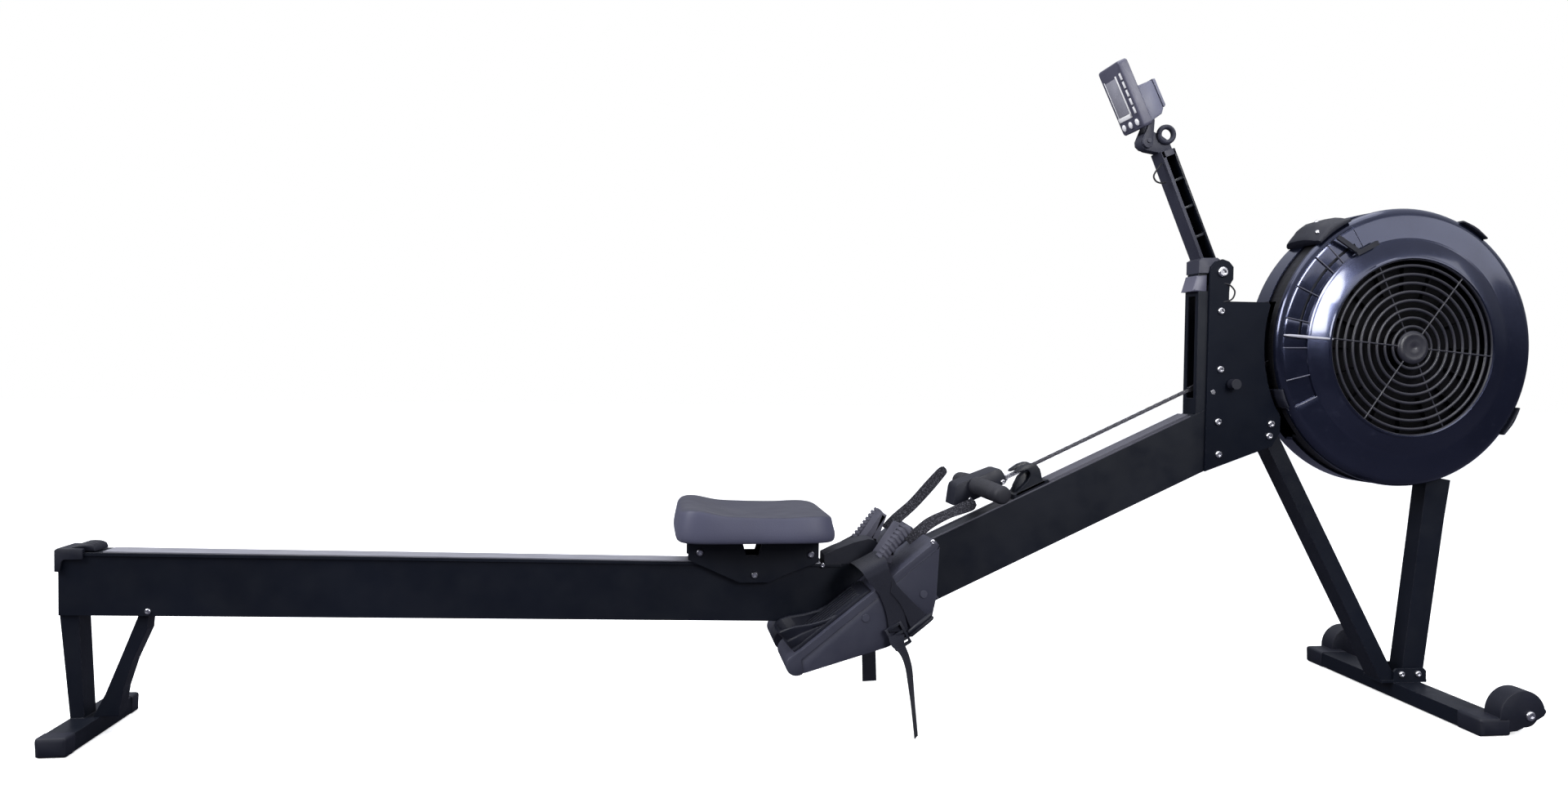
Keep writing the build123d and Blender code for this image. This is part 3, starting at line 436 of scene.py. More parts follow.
class Shape:
    """Collects geometry for one piece, in metres, in the row frame."""

    def __init__(self):
        self.bm = bmesh.new()

    def faces(self, points, faces):
        verts = [self.bm.verts.new(p) for p in points]
        for face in faces:
            self.bm.faces.new([verts[i] for i in face])
        return self

    def grid(self, rows, closed_u=False, closed_v=False, skip=None):
        """Skin over rows of points."""
        count = len(rows[0])
        points = [p for row in rows for p in row]
        faces = []
        for i in range(len(rows) - (0 if closed_v else 1)):
            for j in range(count - (0 if closed_u else 1)):
                if skip and skip(i, j):
                    continue
                k, m = (i + 1) % len(rows), (j + 1) % count
                faces.append((i * count + j, i * count + m, k * count + m, k * count + j))
        return self.faces(points, faces)

    def loft(self, rings):
        """Closed skin through rings, with a flat end at each end."""
        count = len(rings[0])
        points = [p for ring in rings for p in ring]
        faces = [tuple(range(count)), tuple(range(len(points) - 1, len(points) - 1 - count, -1))]
        for i in range(len(rings) - 1):
            for j in range(count):
                m = (j + 1) % count
                faces.append((i * count + j, (i + 1) * count + j, (i + 1) * count + m, i * count + m))
        return self.faces(points, faces)

    def prism(self, outline, y0, y1):
        return self.loft([[across(p, y) for p in outline] for y in (y0, y1)])

    def slab(self, outline, y0, y1, edge):
        """Prism with its two side faces pulled in by a soft edge."""
        cx = sum(p[0] for p in outline) / len(outline)
        cz = sum(p[1] for p in outline) / len(outline)

        def shrunk(by):
            points = []
            for x, z in outline:
                length = hypot(x - cx, z - cz)
                points.append((x + (cx - x) * by / length, z + (cz - z) * by / length))
            return points

        low, high = min(y0, y1), max(y0, y1)
        rows = [(low, edge), (low + edge * 0.3, edge * 0.3), (low + edge, 0), (high - edge, 0),
                (high - edge * 0.3, edge * 0.3), (high, edge)]
        return self.loft([[across(p, y) for p in shrunk(by)] for y, by in rows])

    def turned(self, centre, axis, profile, segments=48):
        """Solid of revolution: profile is (radius, distance along the axis) from one end to the other."""
        axis, out = about(axis)
        return self.loft([[centre + axis * along * MM + out(a) * max(radius, 0.01) * MM
                           for a in turns(segments)] for radius, along in profile])

    def torus(self, centre, axis, radius, thick, segments=120, sides=8, squash=1):
        """Ring about an axis, oval when squash is not 1."""
        axis, out = about(axis)
        rows = [[centre + out(a) * (radius + thick * cos(b)) * MM + axis * thick * squash * sin(b) * MM
                 for b in turns(sides)] for a in turns(segments)]
        return self.grid(rows, closed_u=True, closed_v=True)

    def tube(self, points, radii, sides=12):
        """Round tube along points; radii is one radius or one for each point, in millimetres."""
        if isinstance(radii, (int, float)):
            radii = [radii] * len(points)
        rings, side = [], None
        for i, p in enumerate(points):
            ahead = (points[min(i + 1, len(points) - 1)] - points[max(i - 1, 0)]).normalized()
            side = ahead.orthogonal() if side is None else side - ahead * side.dot(ahead)
            side.normalize()
            other = ahead.cross(side)
            rings.append([p + (side * cos(a) + other * sin(a)) * radii[i] * MM for a in turns(sides)])
        return self.loft(rings)

    def ribbon(self, left, right, thick, crown=0):
        """Strap between two edge lines, of one thickness in millimetres."""
        rings = []
        for i, (a, b) in enumerate(zip(left, right)):
            j, k = max(i - 1, 0), min(i + 1, len(left) - 1)
            ahead = (left[k] + right[k] - left[j] - right[j]).normalized()
            face = (b - a).normalized().cross(ahead) * MM
            width = [a.lerp(b, t) + face * crown * (1 - (2 * t - 1) ** 2) for t in (0, 0.08, 0.5, 0.92, 1)]
            lift = (0.55, 1, 0.9, 1, 0.55)
            top = [p + face * thick / 2 * h for p, h in zip(width, lift)]
            low = [p - face * thick / 2 * h for p, h in zip(width, lift)]
            rings.append(top + low[::-1])
        return self.loft(rings)

    def piece(self, name, material, body, replaces=None, bevel=0, subdivide=0, solidify=0, crease=40):
        """Turns the geometry into one finished object that rides on a body."""
        bmesh.ops.remove_doubles(self.bm, verts=self.bm.verts, dist=0.00002)
        bmesh.ops.recalc_face_normals(self.bm, faces=self.bm.faces)
        mesh = bpy.data.meshes.new(name)
        self.bm.to_mesh(mesh)
        self.bm.free()
        piece = bpy.data.objects.new(name, mesh)
        bpy.context.scene.collection.objects.link(piece)
        if solidify:
            m = piece.modifiers.new("thickness", "SOLIDIFY")
            m.thickness, m.offset = solidify * MM, 0
        if bevel:
            m = piece.modifiers.new("edges", "BEVEL")
            m.width, m.segments, m.limit_method = bevel * MM, 2, "ANGLE"
            m.angle_limit = radians(30)
            m.use_clamp_overlap = True
        if subdivide:
            m = piece.modifiers.new("smooth", "SUBSURF")
            m.levels = m.render_levels = subdivide
        if piece.modifiers:
            bpy.context.view_layer.update()
            graph = bpy.context.evaluated_depsgraph_get()
            mesh = bpy.data.meshes.new_from_object(piece.evaluated_get(graph))
            piece.modifiers.clear()
            piece.data = mesh
            mesh.name = name
        piece.data.shade_smooth()
        piece.data.set_sharp_from_angle(angle=radians(crease))
        paint(piece, material)
        if body:
            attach(piece, body)
        if replaces:
            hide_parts(replaces)
        return piece


SIDES = (-1, 1)


def named(side):
    return "right" if side < 0 else "left"


# ---- seat ----
# height of the rim as (share of the pad's length, height), then the lines round the pad from its
# underside up as (inset, height), and up its wall as (inset, drop below the top)
SEAT_RIM = ((0, 337), (0.05, 349.5), (0.14, 351.5), (0.27, 345), (0.48, 338), (0.69, 340.5),
            (0.88, 342), (0.96, 338.5), (1, 329))
SEAT_RINGS = ((9, 298.6), (3, 299.4), (0.6, 302.5), (0, 313))
SEAT_WALL = ((3.4, 12), (5.2, 4.4), (5.9, 1.8), (7.6, 0.3), (11, 0))
SEAT_TOP_SHARES = (0.93, 0.84, 0.74, 0.63, 0.52, 0.41, 0.3, 0.19, 0.08)
SEAT_CORNER = 6.5
SEAT_LONGER = 3


def make_seat():
    """Moulded pad: a bevelled wall all round, and a top that dips across and along."""
    low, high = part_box("seat_pad")
    middle_x = (low.x + high.x) / 2 / MM + SEAT_LONGER
    half_x, half_y = (high.x - low.x) / 2 / MM + SEAT_LONGER, (high.y - low.y) / 2 / MM

    def plan(inset, turn):
        c, s = cos(turn), sin(turn)
        x = (half_x - inset) * copysign(abs(c) ** (2 / SEAT_CORNER), c)
        y = (half_y - inset) * copysign(abs(s) ** (2 / SEAT_CORNER), s)
        return x, y

    def surface(x, y):
        u, v = (x + half_x) / (2 * half_x), y / half_y
        dish = 5 * (1 - v * v) * sin(pi * min(max(u, 0), 1))
        bones = sum(3.5 * exp(-((u - 0.36) / 0.15) ** 2 - ((v - c) / 0.3) ** 2) for c in (-0.42, 0.42))
        tail = 5 * exp(-((u - 0.02) / 0.12) ** 2 - (v / 0.22) ** 2)
        return smooth_value(SEAT_RIM, u) - dish - bones - tail

    def ring(inset, height, share=1):
        """One line round the pad; height is a level, or a function of the place."""
        line = []
        for turn in turns(96, 0.5):
            x, y = (share * c for c in plan(inset, turn))
            z = height(x, y) if callable(height) else height
            line.append(Vector(((middle_x + x) * MM, y * MM, z * MM)))
        return line

    rings = [ring(inset, z) for inset, z in SEAT_RINGS]
    rings += [ring(inset, lambda x, y: surface(x, y) - drop) for inset, drop in SEAT_WALL]
    rings += [ring(SEAT_WALL[-1][0] * share, surface, share) for share in SEAT_TOP_SHARES]
    pad = Shape().loft(rings).piece("seat_cushion", "seat_vinyl", "seat", "seat_pad", subdivide=1, crease=180)


# ---- fan cage ----
# angle at which each louvre starts, and how deep it lies at its start and at its end
VANES = ((118, 0.8, 2.2), (131.7, 1, 3), (139, 2.6, 4.6), (153.8, 2.2, 4.6), (168, 2.6, 3.6),
         (175.5, 4.6, 5), (181, 1.6, 2), (195, 3.4, 4.2), (207, 0, 0))
VANE_INNER, VANE_OUTER = 190, 233
LONG_RIB_ANGLE = 175.5
SLOT_RADII, SLOT_ANGLES = (201.6, 206.4), (121, 177)


def vane_depth(angle):
    """How far the louvred panel lies below the cage's face at an angle."""
    for (start, near, far), (end, _, _) in zip(VANES, VANES[1:]):
        if start <= angle < end:
            return near + (far - near) * (angle - start) / (end - start)
    return 0


def make_near_shell():
    """Turned cover with a raised ring about the grille, a louvred panel and the lever's open slot."""
    profile = [(152.6, -57), (152.8, -62.2), (154, -63.6), (155.8, -63.4), (157.2, -61.6), (166, -59.6),
               (184, -53.8), (186.4, -53), (187.4, -52.9), (188.6, -52.4), (VANE_INNER, -52.2),
               (VANE_INNER + 1, -52.1), (SLOT_RADII[0], -51), (SLOT_RADII[1], -50.6), (219, -49.3),
               (227, -48.4), (230, -47.9), (VANE_OUTER - 1, -47.3), (VANE_OUTER, -46.9), (235.5, -45.6),
               (238, -43.8), (240, -41.4), (241.2, -38.6), (241.6, -35.4)]
    angles = {*map(float, range(0, 360, 3)), *SLOT_ANGLES}
    for start, _, _ in VANES:
        angles |= {start - 0.12, start + 0.02}
    angles = sorted(angles)
    rows = []
    for angle in angles:
        row = []
        for radius, y in profile:
            sunk = vane_depth(angle) if VANE_INNER + 0.5 < radius < VANE_OUTER - 0.5 else 0
            row.append(across(on_wheel(radius, angle), y + 0.4 + sunk))
        rows.append(row)
    slot = [radius for radius, _ in profile].index(SLOT_RADII[0])

    def in_slot(i, j):
        return j == slot and SLOT_ANGLES[0] <= angles[i] < SLOT_ANGLES[1]

    Shape().grid(rows, closed_v=True, skip=in_slot).piece(
        "cage_near_cover", "cage_plastic", "frame", "cage_near_shell", solidify=1.8, crease=24)
    ribs, bright = Shape(), Shape()
    ridge = ((150, -61.9), (157, -61.6), (167, -59.8), (184, -54.4), (191, -52.6), (206, -51.2), (220, -49.6),
             (232, -47.6))
    for angle, _, _ in VANES[1:]:
        line = [across(on_wheel(r, angle), y + 0.3) for r, y in ridge]
        # the long rib takes the light grey finish: painted highlight
        if angle == LONG_RIB_ANGLE:
            bright.tube(line, [1.4, 2, 2.4, 2.6, 2.8, 2.8, 2.4, 1.4], 10)
        else:
            ribs.tube(line[4:], 1.1, 10)
    ribs.piece("cage_vane_ribs", "cage_rib_highlight", "frame", crease=60)
    bright.piece("cage_long_rib", "painted_highlight_rib", "frame", crease=60)


GRILLE_RINGS = range(36, 148, 15)
SPOKE_ANGLES, BACK_SPOKES = (-5, 53, 115, 175, 235, 295), (115, 295)


def make_grille():
    """Moulded guard: thin rounded rings on six spokes, with a domed hub."""
    centre = at(WHEEL_X, 0, WHEEL_Z)
    shape = Shape()
    for radius in GRILLE_RINGS:
        shape.torus(centre + Vector((0, -59.3 * MM, 0)), (0, 1, 0), radius + 0.2, 2.6, squash=0.8)
    shape.torus(centre + Vector((0, -59.5 * MM, 0)), (0, 1, 0), 152, 1.8, squash=1.6)
    for angle in SPOKE_ANGLES:
        behind = 2.6 if angle in BACK_SPOKES else 0
        shape.tube([across(on_wheel(r, angle), -60.2 + behind) for r in (27, 60, 100, 151)], 1.5, 8)
    shape.turned(centre, (0, -1, 0), [(0, 57), (28, 57), (29, 61), (27.5, 63.6), (24, 65.2), (21, 65.8),
                                      (19.5, 65.2), (12, 65.6), (4, 65.2), (2.5, 64.4), (0, 64.4)])
    shape.piece("cage_guard", "grille_plastic", "frame", "cage_grille", crease=50)


def make_clips():
    """Toggle clips that hold the two shells together, with two rivets on the large one."""
    shape, rivets = Shape(), Shape()
    small = [(241.9, 10), (241.9, -46), (243, -49), (246.5, -48), (248.2, -44), (248.2, -30),
             (246, -26), (246, -12), (248.2, -8), (248.2, 6), (246.5, 10)]
    large = [(242, 47), (242, -44), (243.5, -49.5), (250, -50), (253.5, -46), (254.5, -36),
             (258, -28), (262, -14), (263, 4), (262, 26), (258, 40), (250, 46.5)]
    for angle, half_span, section in ((125.5, 8, large), (59, 6.5, small), (-31.5, 6.5, small),
                                      (202, 4, small)):
        rows = []
        for k in range(11):
            a = angle + half_span * (k - 5) / 5
            swell = 0.55 + 0.45 * cos(radians((k - 5) * 15)) if k not in (4, 5, 6) else 1.08
            rows.append([across(on_wheel(241.9 + (r - 241.9) * swell, a), y) for r, y in section])
        shape.loft(rows)
    for rivet_angle, radius, y in ((123.5, 263, -2), (129.5, 256.5, -31)):
        out = (cos(radians(rivet_angle)), -0.5, sin(radians(rivet_angle)))
        rivets.turned(across(on_wheel(radius, rivet_angle), y), out,
                      [(0, -2), (4, -2), (4, 0.6), (2.8, 2), (0, 2.4)], 16)
    shape.piece("cage_toggle_clips", "moulded_plastic", "frame", "cage_clips", bevel=0.8, crease=35)
    rivets.piece("cage_clip_rivets", "bright_steel", "frame", crease=50)


# ---- fasteners ----
def screw_head(shape, place, axis, radius, height):
    """Domed head with a hexagonal socket."""
    axis, out = about(axis)

    def circle(r, along):
        return [place + axis * along * MM + out(a) * r * MM for a in turns(24)]

    def hexagon(along):
        corners = []
        for a in turns(24):
            near = (a % (pi / 3)) - pi / 6
            r = 0.5 * radius * cos(pi / 6) / cos(near)
            corners.append(place + axis * along * MM + out(a) * r * MM)
        return corners

    shape.loft([circle(radius * 0.6, -0.4), circle(radius, -0.4), circle(radius, height * 0.45),
                circle(radius * 0.9, height * 0.75), circle(radius * 0.72, height), hexagon(height),
                hexagon(height * 0.35)])


PLATE_FACE = 27.5
PLATE_BOLTS = ((643, 680), (644, 580), (642, 490), (644, 434), (740, 487), (737, 466))
PIVOT = (644, 747)
LEG_BOLTS = ((1003, 43), (1035, 43))
CASTER = (1073, 32)


def screw_pairs(screws):
    """Screw heads on both sides of the machine: place, distance out, radius and height of each."""
    shape = Shape()
    for side in SIDES:
        for place, y, radius, height in screws:
            screw_head(shape, across(place, side * y), (0, side, 0), radius, height)
    return shape


def make_bolts():
    bolts = [(place, PLATE_FACE, 6.3, 4) for place in PLATE_BOLTS]
    bolts += [(place, 24.5, 5.8, 3.4) for place in LEG_BOLTS]
    bolts.append((PIVOT, PLATE_FACE, 9.3, 5.6))
    screw_pairs(bolts).piece("bolt_heads", "bright_steel", "frame", "frame_bolts")
    small = [((-1081, 190), 21, 4.6, 2.6), ((-43, rail_z(-43, 2.5)), 24, 4, 2.4),
             ((113, 304), 129.6, 4, 2.2), (CASTER, 224.6, 8, 3.6)]
    screw_pairs(small).piece("small_screws", "bright_steel", "frame")
    axle_ends = [((x, rail_z(x, drop)), 33, 6, 4) for x, drop in ((-64, -16.8), (-245, -16.8), (-156, 18))]
    screw_pairs(axle_ends).piece("roller_bolt_heads", "zinc_steel", "seat")


def make_beam_cover():
    """Plastic strip along the top of the beam, and a narrow lip along each of its edges."""
    def strip(x0, x1, below, above):
        return [(x0, beam_z(x0, below)), (x1, beam_z(x1, below)), (x1, beam_z(x1, -above)),
                (x0, beam_z(x0, -above))]

    cover = Shape().slab(strip(345, 592, 0, 4.6), -18, 18, 0.8)
    # The lips take the lighter cover plastic so that a pale line runs along each edge of the beam: partly a
    # raised lip, partly a painted highlight.
    for side in SIDES:
        cover.slab(strip(62, 594, 0.4, 1.6), side * 20.3, side * 22.7, 0.4)
    cover.piece("beam_cover", "cover_plastic", "frame")


# ---- plastic caps and transport wheels ----
# rear edge, front edge and half the width of each foot tube
REAR_FOOT, FRONT_FOOT = (-1193.5, -1152.8, 112), (987.7, 1039.7, 225)
FOOT_TOP = 30


def foot_sleeve(shape, foot, side, sleeve):
    """Cap over the end of a foot tube, with rounded corners and a bevelled end."""
    left, right, end = foot[0] - 2, foot[1] + 2, foot[2]
    rings = []
    for y, inset in ((end - sleeve, 0.9), (end - sleeve + 0.9, 0), (end - 6, 0), (end - 2, 1.6), (end, 5.5)):
        x0, x1 = left + 5 + inset * 0.4, right - 5 - inset * 0.4
        z0, z1 = 4 + inset * 0.4, FOOT_TOP - 5 - inset * 0.4
        upper, lower = 5 - inset * 0.6, 4 - inset * 0.6
        section = rounded((x1, z1, upper, 0), (x0, z1, upper, 90), (x0, z0, lower, 180), (x1, z0, lower, 270))
        rings.append([across(p, side * y) for p in section])
    shape.loft(rings)


def make_foot_caps():
    """Plain sleeves on the rear foot; sleeves with a fender over each wheel on the front foot."""
    rear, front = Shape(), Shape()
    fender = circle_of(1060, 33, 40, range(16, 181, 6))
    well = circle_of(*CASTER, 25, range(180, 9, -8))
    cheek = [(1102, 38), *fender, (1020, 27), (1036, 27), (1036, 7), (1050, 8), (1072, 17), (1098, 31)]
    for side in SIDES:
        foot_sleeve(rear, REAR_FOOT, side, 26)
        foot_sleeve(front, FRONT_FOOT, side, 50)
        front.slab(cheek, side * 225, side * 221, 1.2)
        front.slab(cheek, side * 195.2, side * 191, 1.2)
        front.prism(fender + [(1020, 27), (1045, 27)] + well, side * 194, side * 222)
    rear.piece("rear_caps", "moulded_plastic", "frame", "rear_foot_caps")
    front.piece("fender_caps", "moulded_plastic", "frame", "front_foot_caps")


def make_transport_wheels():
    """Rubber rollers with rounded shoulders, a recessed face and a raised hub."""
    section = [(4, 28), (14, 28), (15, 27), (17.5, 27), (18.5, 28), (20, 27.6), (21, 26),
               (21, 8), (20, 6.4), (18.5, 6), (16.5, 6), (15.6, 8.6), (9.4, 8.6), (9, 6.2), (4, 6)]
    for side in SIDES:
        wheel = Shape()
        wheel.turned(at(CASTER[0], side * 225, CASTER[1]), (0, -side, 0), section, 56)
        wheel.piece(f"{named(side)}_roller", "tyre", f"{named(side)}_wheel", f"{named(side)}_transport_wheel")


def make_end_cap():
    """Cap hooked over the end of the rail, with a ribbed stop for the seat."""
    def under(x, depth):
        return x, rail_z(x, depth)

    cap = Shape()
    skirt = line_of(under, (-1210, 29), (-1203, 30), (-1200.5, 14), (-1197, 11), (-1171, 10), (-1170, 8),
                    (-1170, -5), (-1172, -6), (-1206, -6), (-1210, -3))
    for side in SIDES:
        cap.slab(skirt, side * 26.5, side * 24.1, 0.9)
    top = line_of(under, (-1210, -0.4), (-1210, -3), (-1206, -6), (-1172, -6), (-1170, -5), (-1170, -0.4))
    cap.slab(top, -25.5, 25.5, 0.6)
    end = line_of(under, (-1210, 29.5), (-1210, -2), (-1207.2, -2), (-1207.2, 29.5))
    cap.slab(end, -25.5, 25.5, 0.5)
    stop = [under(-1196, -5), (-1184, 290.2), (-1180, 292.6), (-1172, 293), (-1162, 292.4), (-1157, 289.5),
            (-1155, 284), under(-1155, -1.6), under(-1170, -1.6), under(-1170, -5)]
    cap.slab(stop, -20, 20, 2)
    for y in (-13, -4.4, 4.4, 13):
        rib = [(-1183, 291), (-1179, 293.8), (-1172, 294.3), (-1163, 293.7), (-1159, 291.3), (-1164, 291),
               (-1180, 291)]
        cap.slab(rib, y - 2, y + 2, 0.6)
    cap.piece("rail_end_stop", "moulded_plastic", "frame", "rail_end_cap")


# ---- footrests ----
HEEL_RADIUS = 17
BOARD_OUT, BOARD_IN = 130, 23
BOARD_LONG = 292


def make_footboards():
    """Sloping boards on two cheeks, with a rounded heel end, ribs below and rows of low studs."""
    board_up = (-sin(BOARD_ANGLE), 0, cos(BOARD_ANGLE))
    for side in SIDES:
        shape = Shape()
        heel = circle_of(*on_board(3, 0), HEEL_RADIUS, [BOARD_SLOPE + 90 + 171 * k / 14 for k in range(15)])
        band = heel + line_of(on_board, (12, 2.5), (BOARD_LONG - 6, 3), (BOARD_LONG, 6), (BOARD_LONG, 13),
                              (BOARD_LONG - 3, 14.2), (20, 14.2))
        shape.slab(band, side * BOARD_IN, side * BOARD_OUT, 2.4)
        cheek = [on_board(2, -1), on_board(14, 2), on_board(BOARD_LONG - 1.5, 2.6), (120.6, 216),
                 (114.5, 187), (79, 156), (43, 139.2), (-84, 102.6), (-95, 100.5)]
        for y0, y1 in ((BOARD_OUT - 1.2, BOARD_OUT - 5), (BOARD_IN + 0.6, BOARD_IN + 4.4)):
            shape.slab(cheek, side * y0, side * y1, 0.9)
        for s in (60, 120, 180, 240):
            depth = min(0.30 * s, 60)
            rib = line_of(on_board, (s - 1.2, 4), (s + 1.2, 4), (s + 1.2, -depth), (s - 1.2, -depth))
            shape.prism(rib, side * (BOARD_IN + 3), side * (BOARD_OUT - 3))
        for row in range(7):
            y = side * (40 + row * 13)
            for s in range(178, 276, 14):
                shape.turned(across(on_board(s, 14), y), board_up,
                             [(2.6, -0.5), (2.6, 0.2), (1.6, 0.32), (0.4, 0.36)], 10)
        shape.piece(f"{named(side)}_footboard", "foot_plastic", "frame", "footboards" if side < 0 else None)


def make_heel_cups():
    """Sliding sole plate with a wall that wraps round the heel under a rolled rim."""
    path = [(98, 0), (80, 0.12), (58, 0.42), (38, 0.78), (24, 0.95)]
    # along the board, out from the middle, height, and whether the inner face looks forward and outward
    walls = [(s, 43, h, 0, 1) for s, h in path]
    walls += [(s, y, 1, 1, outward) for s, y, outward in (
        (13.5, 49, 1), (10, 60, 0), (9, 79, 0), (10, 98, 0), (13.5, 109, -1))]
    walls += [(s, 115, h, 0, -1) for s, h in reversed(path)]
    for side in SIDES:
        rows = []
        for s, y, h, forward, outward in walls:
            top = 20 + 33 * h
            section = [(0, 14.6), (-0.6, 14.6 + (top - 14.6) * 0.45), (1.2, 14.6 + (top - 14.6) * 0.52),
                       (-1, top - 6), (-1.6, top - 1.5), (0.2, top), (3.2, top - 0.6), (4.6, top - 3.5),
                       (4, 20), (4.6, 16)]
            rows.append([across(on_board(s + inset * forward, n), side * (y + inset * outward))
                         for inset, n in section])
        shape = Shape().loft(rows)
        sole = line_of(on_board, (12, 14.4), (12, 19), (150, 19), (162, 17.4), (165, 14.4))
        shape.slab(sole, side * 39, side * 119, 1.4)
        ridge = line_of(on_board, (30, 19), (36, 21.2), (142, 21.2), (148, 19))
        for k in range(6):
            y = 52 + 10.8 * k
            shape.slab(ridge, side * (y - 1.8), side * (y + 1.8), 0.8)
        shape.piece(f"{named(side)}_heel_rest", "moulded_plastic", f"{named(side)}_cup",
                    f"{named(side)}_heel_cup", bevel=0.6, crease=50)


RIBS = 9


def make_toe_pads():
    """Grey pads: a ribbed roll along the outer edge and an A-shaped bracket behind it."""
    for side in SIDES:
        core, ribs = Shape(), Shape()
        outline = line_of(on_board, (206, 35), (205, 44), (262, 57.5), (273, 56), (274, 47))
        core.slab(outline, side * 86, side * 110.6, 2)
        for k in range(RIBS):
            s = 209 + 7.4 * k
            n = 34 + (s - 206) * 0.17
            top = 46 + (s - 206) * 0.235 if s < 262 else 59
            rib = line_of(on_board, (s - 2.7, n), (s - 2.2, top), (s + 2.2, top + 1), (s + 2.7, n + 1))
            ribs.slab(rib, side * 84.5, side * 112.4, 1.7)
        legs = ((on_board(200, 34), on_board(268, 56), 5.4), (on_board(214, 22), on_board(270, 55), 4.6),
                (on_board(222, 36), on_board(232, 28), 4))
        for (x0, z0), (x1, z1), half in legs:
            length = hypot(x1 - x0, z1 - z0)
            nx, nz = -(z1 - z0) / length * half, (x1 - x0) / length * half
            leg = [(x0 - nx, z0 - nz), (x1 - nx * 0.9, z1 - nz * 0.9), (x1 + nx * 0.9, z1 + nz * 0.9),
                   (x0 + nx, z0 + nz)]
            core.slab(leg, side * 44, side * 84, 1.6)
        core.piece(f"{named(side)}_toe_bracket", "grey_rubber", "frame",
                   "toe_pads" if side < 0 else None, crease=45)
        ribs.piece(f"{named(side)}_toe_ribs", "grey_rubber", "frame", crease=55)


def edge_line(points, side, steps=6):
    return spline([at(x, side * y, z) for x, y, z in points], steps)


def make_straps():
    """Straps that rise from the board, cross over the toe pad and hang down outside, each with its buckle."""
    (left_x, left_z), (right_x, right_z) = on_board(192, 14.5), on_board(218, 14.5)
    for side in SIDES:
        shape = Shape()
        left = [(left_x, 37.5, left_z), (2, 38.5, 250), (-1, 46, 256.5),
                (-1, 84, 259), (2, 122, 257), (6, 131, 250), (14, 132.6, 240),
                (28.3, 133, 222), (38, 133, 200), (43, 133.6, 178), (44.3, 135, 164.6)]
        right = [(right_x, 37.5, right_z), (36, 38.5, 268), (38, 46, 276),
                 (38, 84, 279), (40, 122, 277), (42, 131, 268), (46, 132.6, 255.4),
                 (58.2, 133, 231.8), (66.1, 133, 202.4), (71, 133.6, 182), (74.2, 135, 167)]
        shape.ribbon(edge_line(left, side), edge_line(right, side), 1.8, 0.6)
        low = [(46, 134.4, 226), (62, 134.8, 207), (73.7, 135, 182), (82, 135.4, 163)]
        high = [(48, 134.4, 246), (66, 134.8, 226.5), (88, 135, 205), (108, 135.4, 186)]
        shape.ribbon(edge_line(low, side), edge_line(high, side), 1.8, 0.4)
        if side < 0:
            tail_left = [(42, 139, 160), (45, 146, 147), (58.3, 151, 133.8), (66, 153, 114.6),
                         (70.9, 153, 88.2), (75.9, 152.5, 58.8), (80, 151, 29.4), (83.8, 149, 1)]
            tail_right = [(68, 138, 162), (67, 141, 149.7), (75, 141, 129), (80.5, 139.5, 108.5),
                          (83.4, 138.5, 82.1), (86, 138.5, 52.7), (89, 139.5, 23.3), (90.8, 141, 3.6)]
        else:
            tail_left = [(48, 138, 160), (54, 144, 146), (60, 145, 118), (60.5, 145, 60), (62.5, 145, 4.4)]
            tail_right = [(68, 137, 162), (74, 143, 146), (83, 144, 118), (86, 144, 60), (88.3, 144, 5.3)]
        shape.ribbon(edge_line(tail_left, side), edge_line(tail_right, side), 1.8, 0.5)
        shape.piece(f"{named(side)}_foot_strap", "webbing", "frame", "foot_straps" if side < 0 else None,
                    crease=50)
        make_buckle(side)


def make_buckle(side):
    """Ladder lock on the strap, and the loop bar the strap's other half turns round."""
    shape = Shape()
    a, b = Vector((39, 0, 170)), Vector((58, 0, 137))
    along = (b - a).normalized()
    cross = Vector((-along.z, 0, along.x))

    def bar(u0, u1, v0, v1):
        corners = (a + along * u + cross * v for u, v in ((u0, v0), (u1, v0), (u1, v1), (u0, v1)))
        return [(p.x, p.z) for p in corners]

    length = (b - a).length
    for v0, v1 in ((-3.5, 0.5), (21.5, 25.5)):
        shape.slab(bar(0, length, v0, v1), side * 133.2, side * 140.2, 1.5)
    for u in (0, length * 0.36, length * 0.68, length - 4):
        shape.slab(bar(u, u + 4.4, -1, 23), side * 134, side * 139.4, 1.3)
    loop = ((76, 134.5, 160), (79, 136, 161.5), (95, 136.6, 174.5), (111, 136, 187), (114, 134.5, 189))
    for drop, radius in ((0, 4), (6, 3.2)):
        shape.tube([at(x - 3 + drop * 0.5, side * y, z + 3 - drop * 0.8) for x, y, z in loop],
                   [radius * 0.6, radius, radius * 1.05, radius, radius * 0.6])
    shape.piece(f"{named(side)}_buckle", "moulded_plastic", "frame", "strap_buckles" if side < 0 else None,
                crease=45)


def make_tongues():
    """Soft woven strap ends that stand up beside the beam."""
    shape = Shape()
    near_top = [(88, -41, 296), (106.3, -40, 312), (128.2, -40, 328.8), (159.6, -40, 342.6),
                (188.1, -40.5, 354.9), (200.8, -41.5, 359.5), (207, -46, 357.5)]
    near_low = [(100, -55, 285), (116, -54, 299.5), (134.7, -53.5, 314.9), (163, -53.5, 330.2),
                (191.6, -53, 339.3), (204, -51.5, 344), (209.5, -46.8, 350.5)]
    far_top = [(76, 66, 300), (93.6, 66, 318.9), (123.3, 65, 344.9), (149.6, 64, 374.4),
               (170, 63, 396.5), (178, 61.5, 403.5), (183.6, 60, 404.6)]
    far_low = [(88, 54, 291), (107.2, 54, 309), (133.5, 55, 331.8), (161.6, 56, 361.2),
               (182, 57, 385), (188.6, 58, 394), (187.6, 59.4, 400.6)]
    for top, low in ((near_top, near_low), (far_top, far_low)):
        shape.ribbon(edge_line(low, 1, 7), edge_line(top, 1, 7), 3, 0.8)
    tongues = shape.piece("strap_ends", "woven_tail", "frame", "strap_tongues", crease=60)
    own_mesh(tongues)


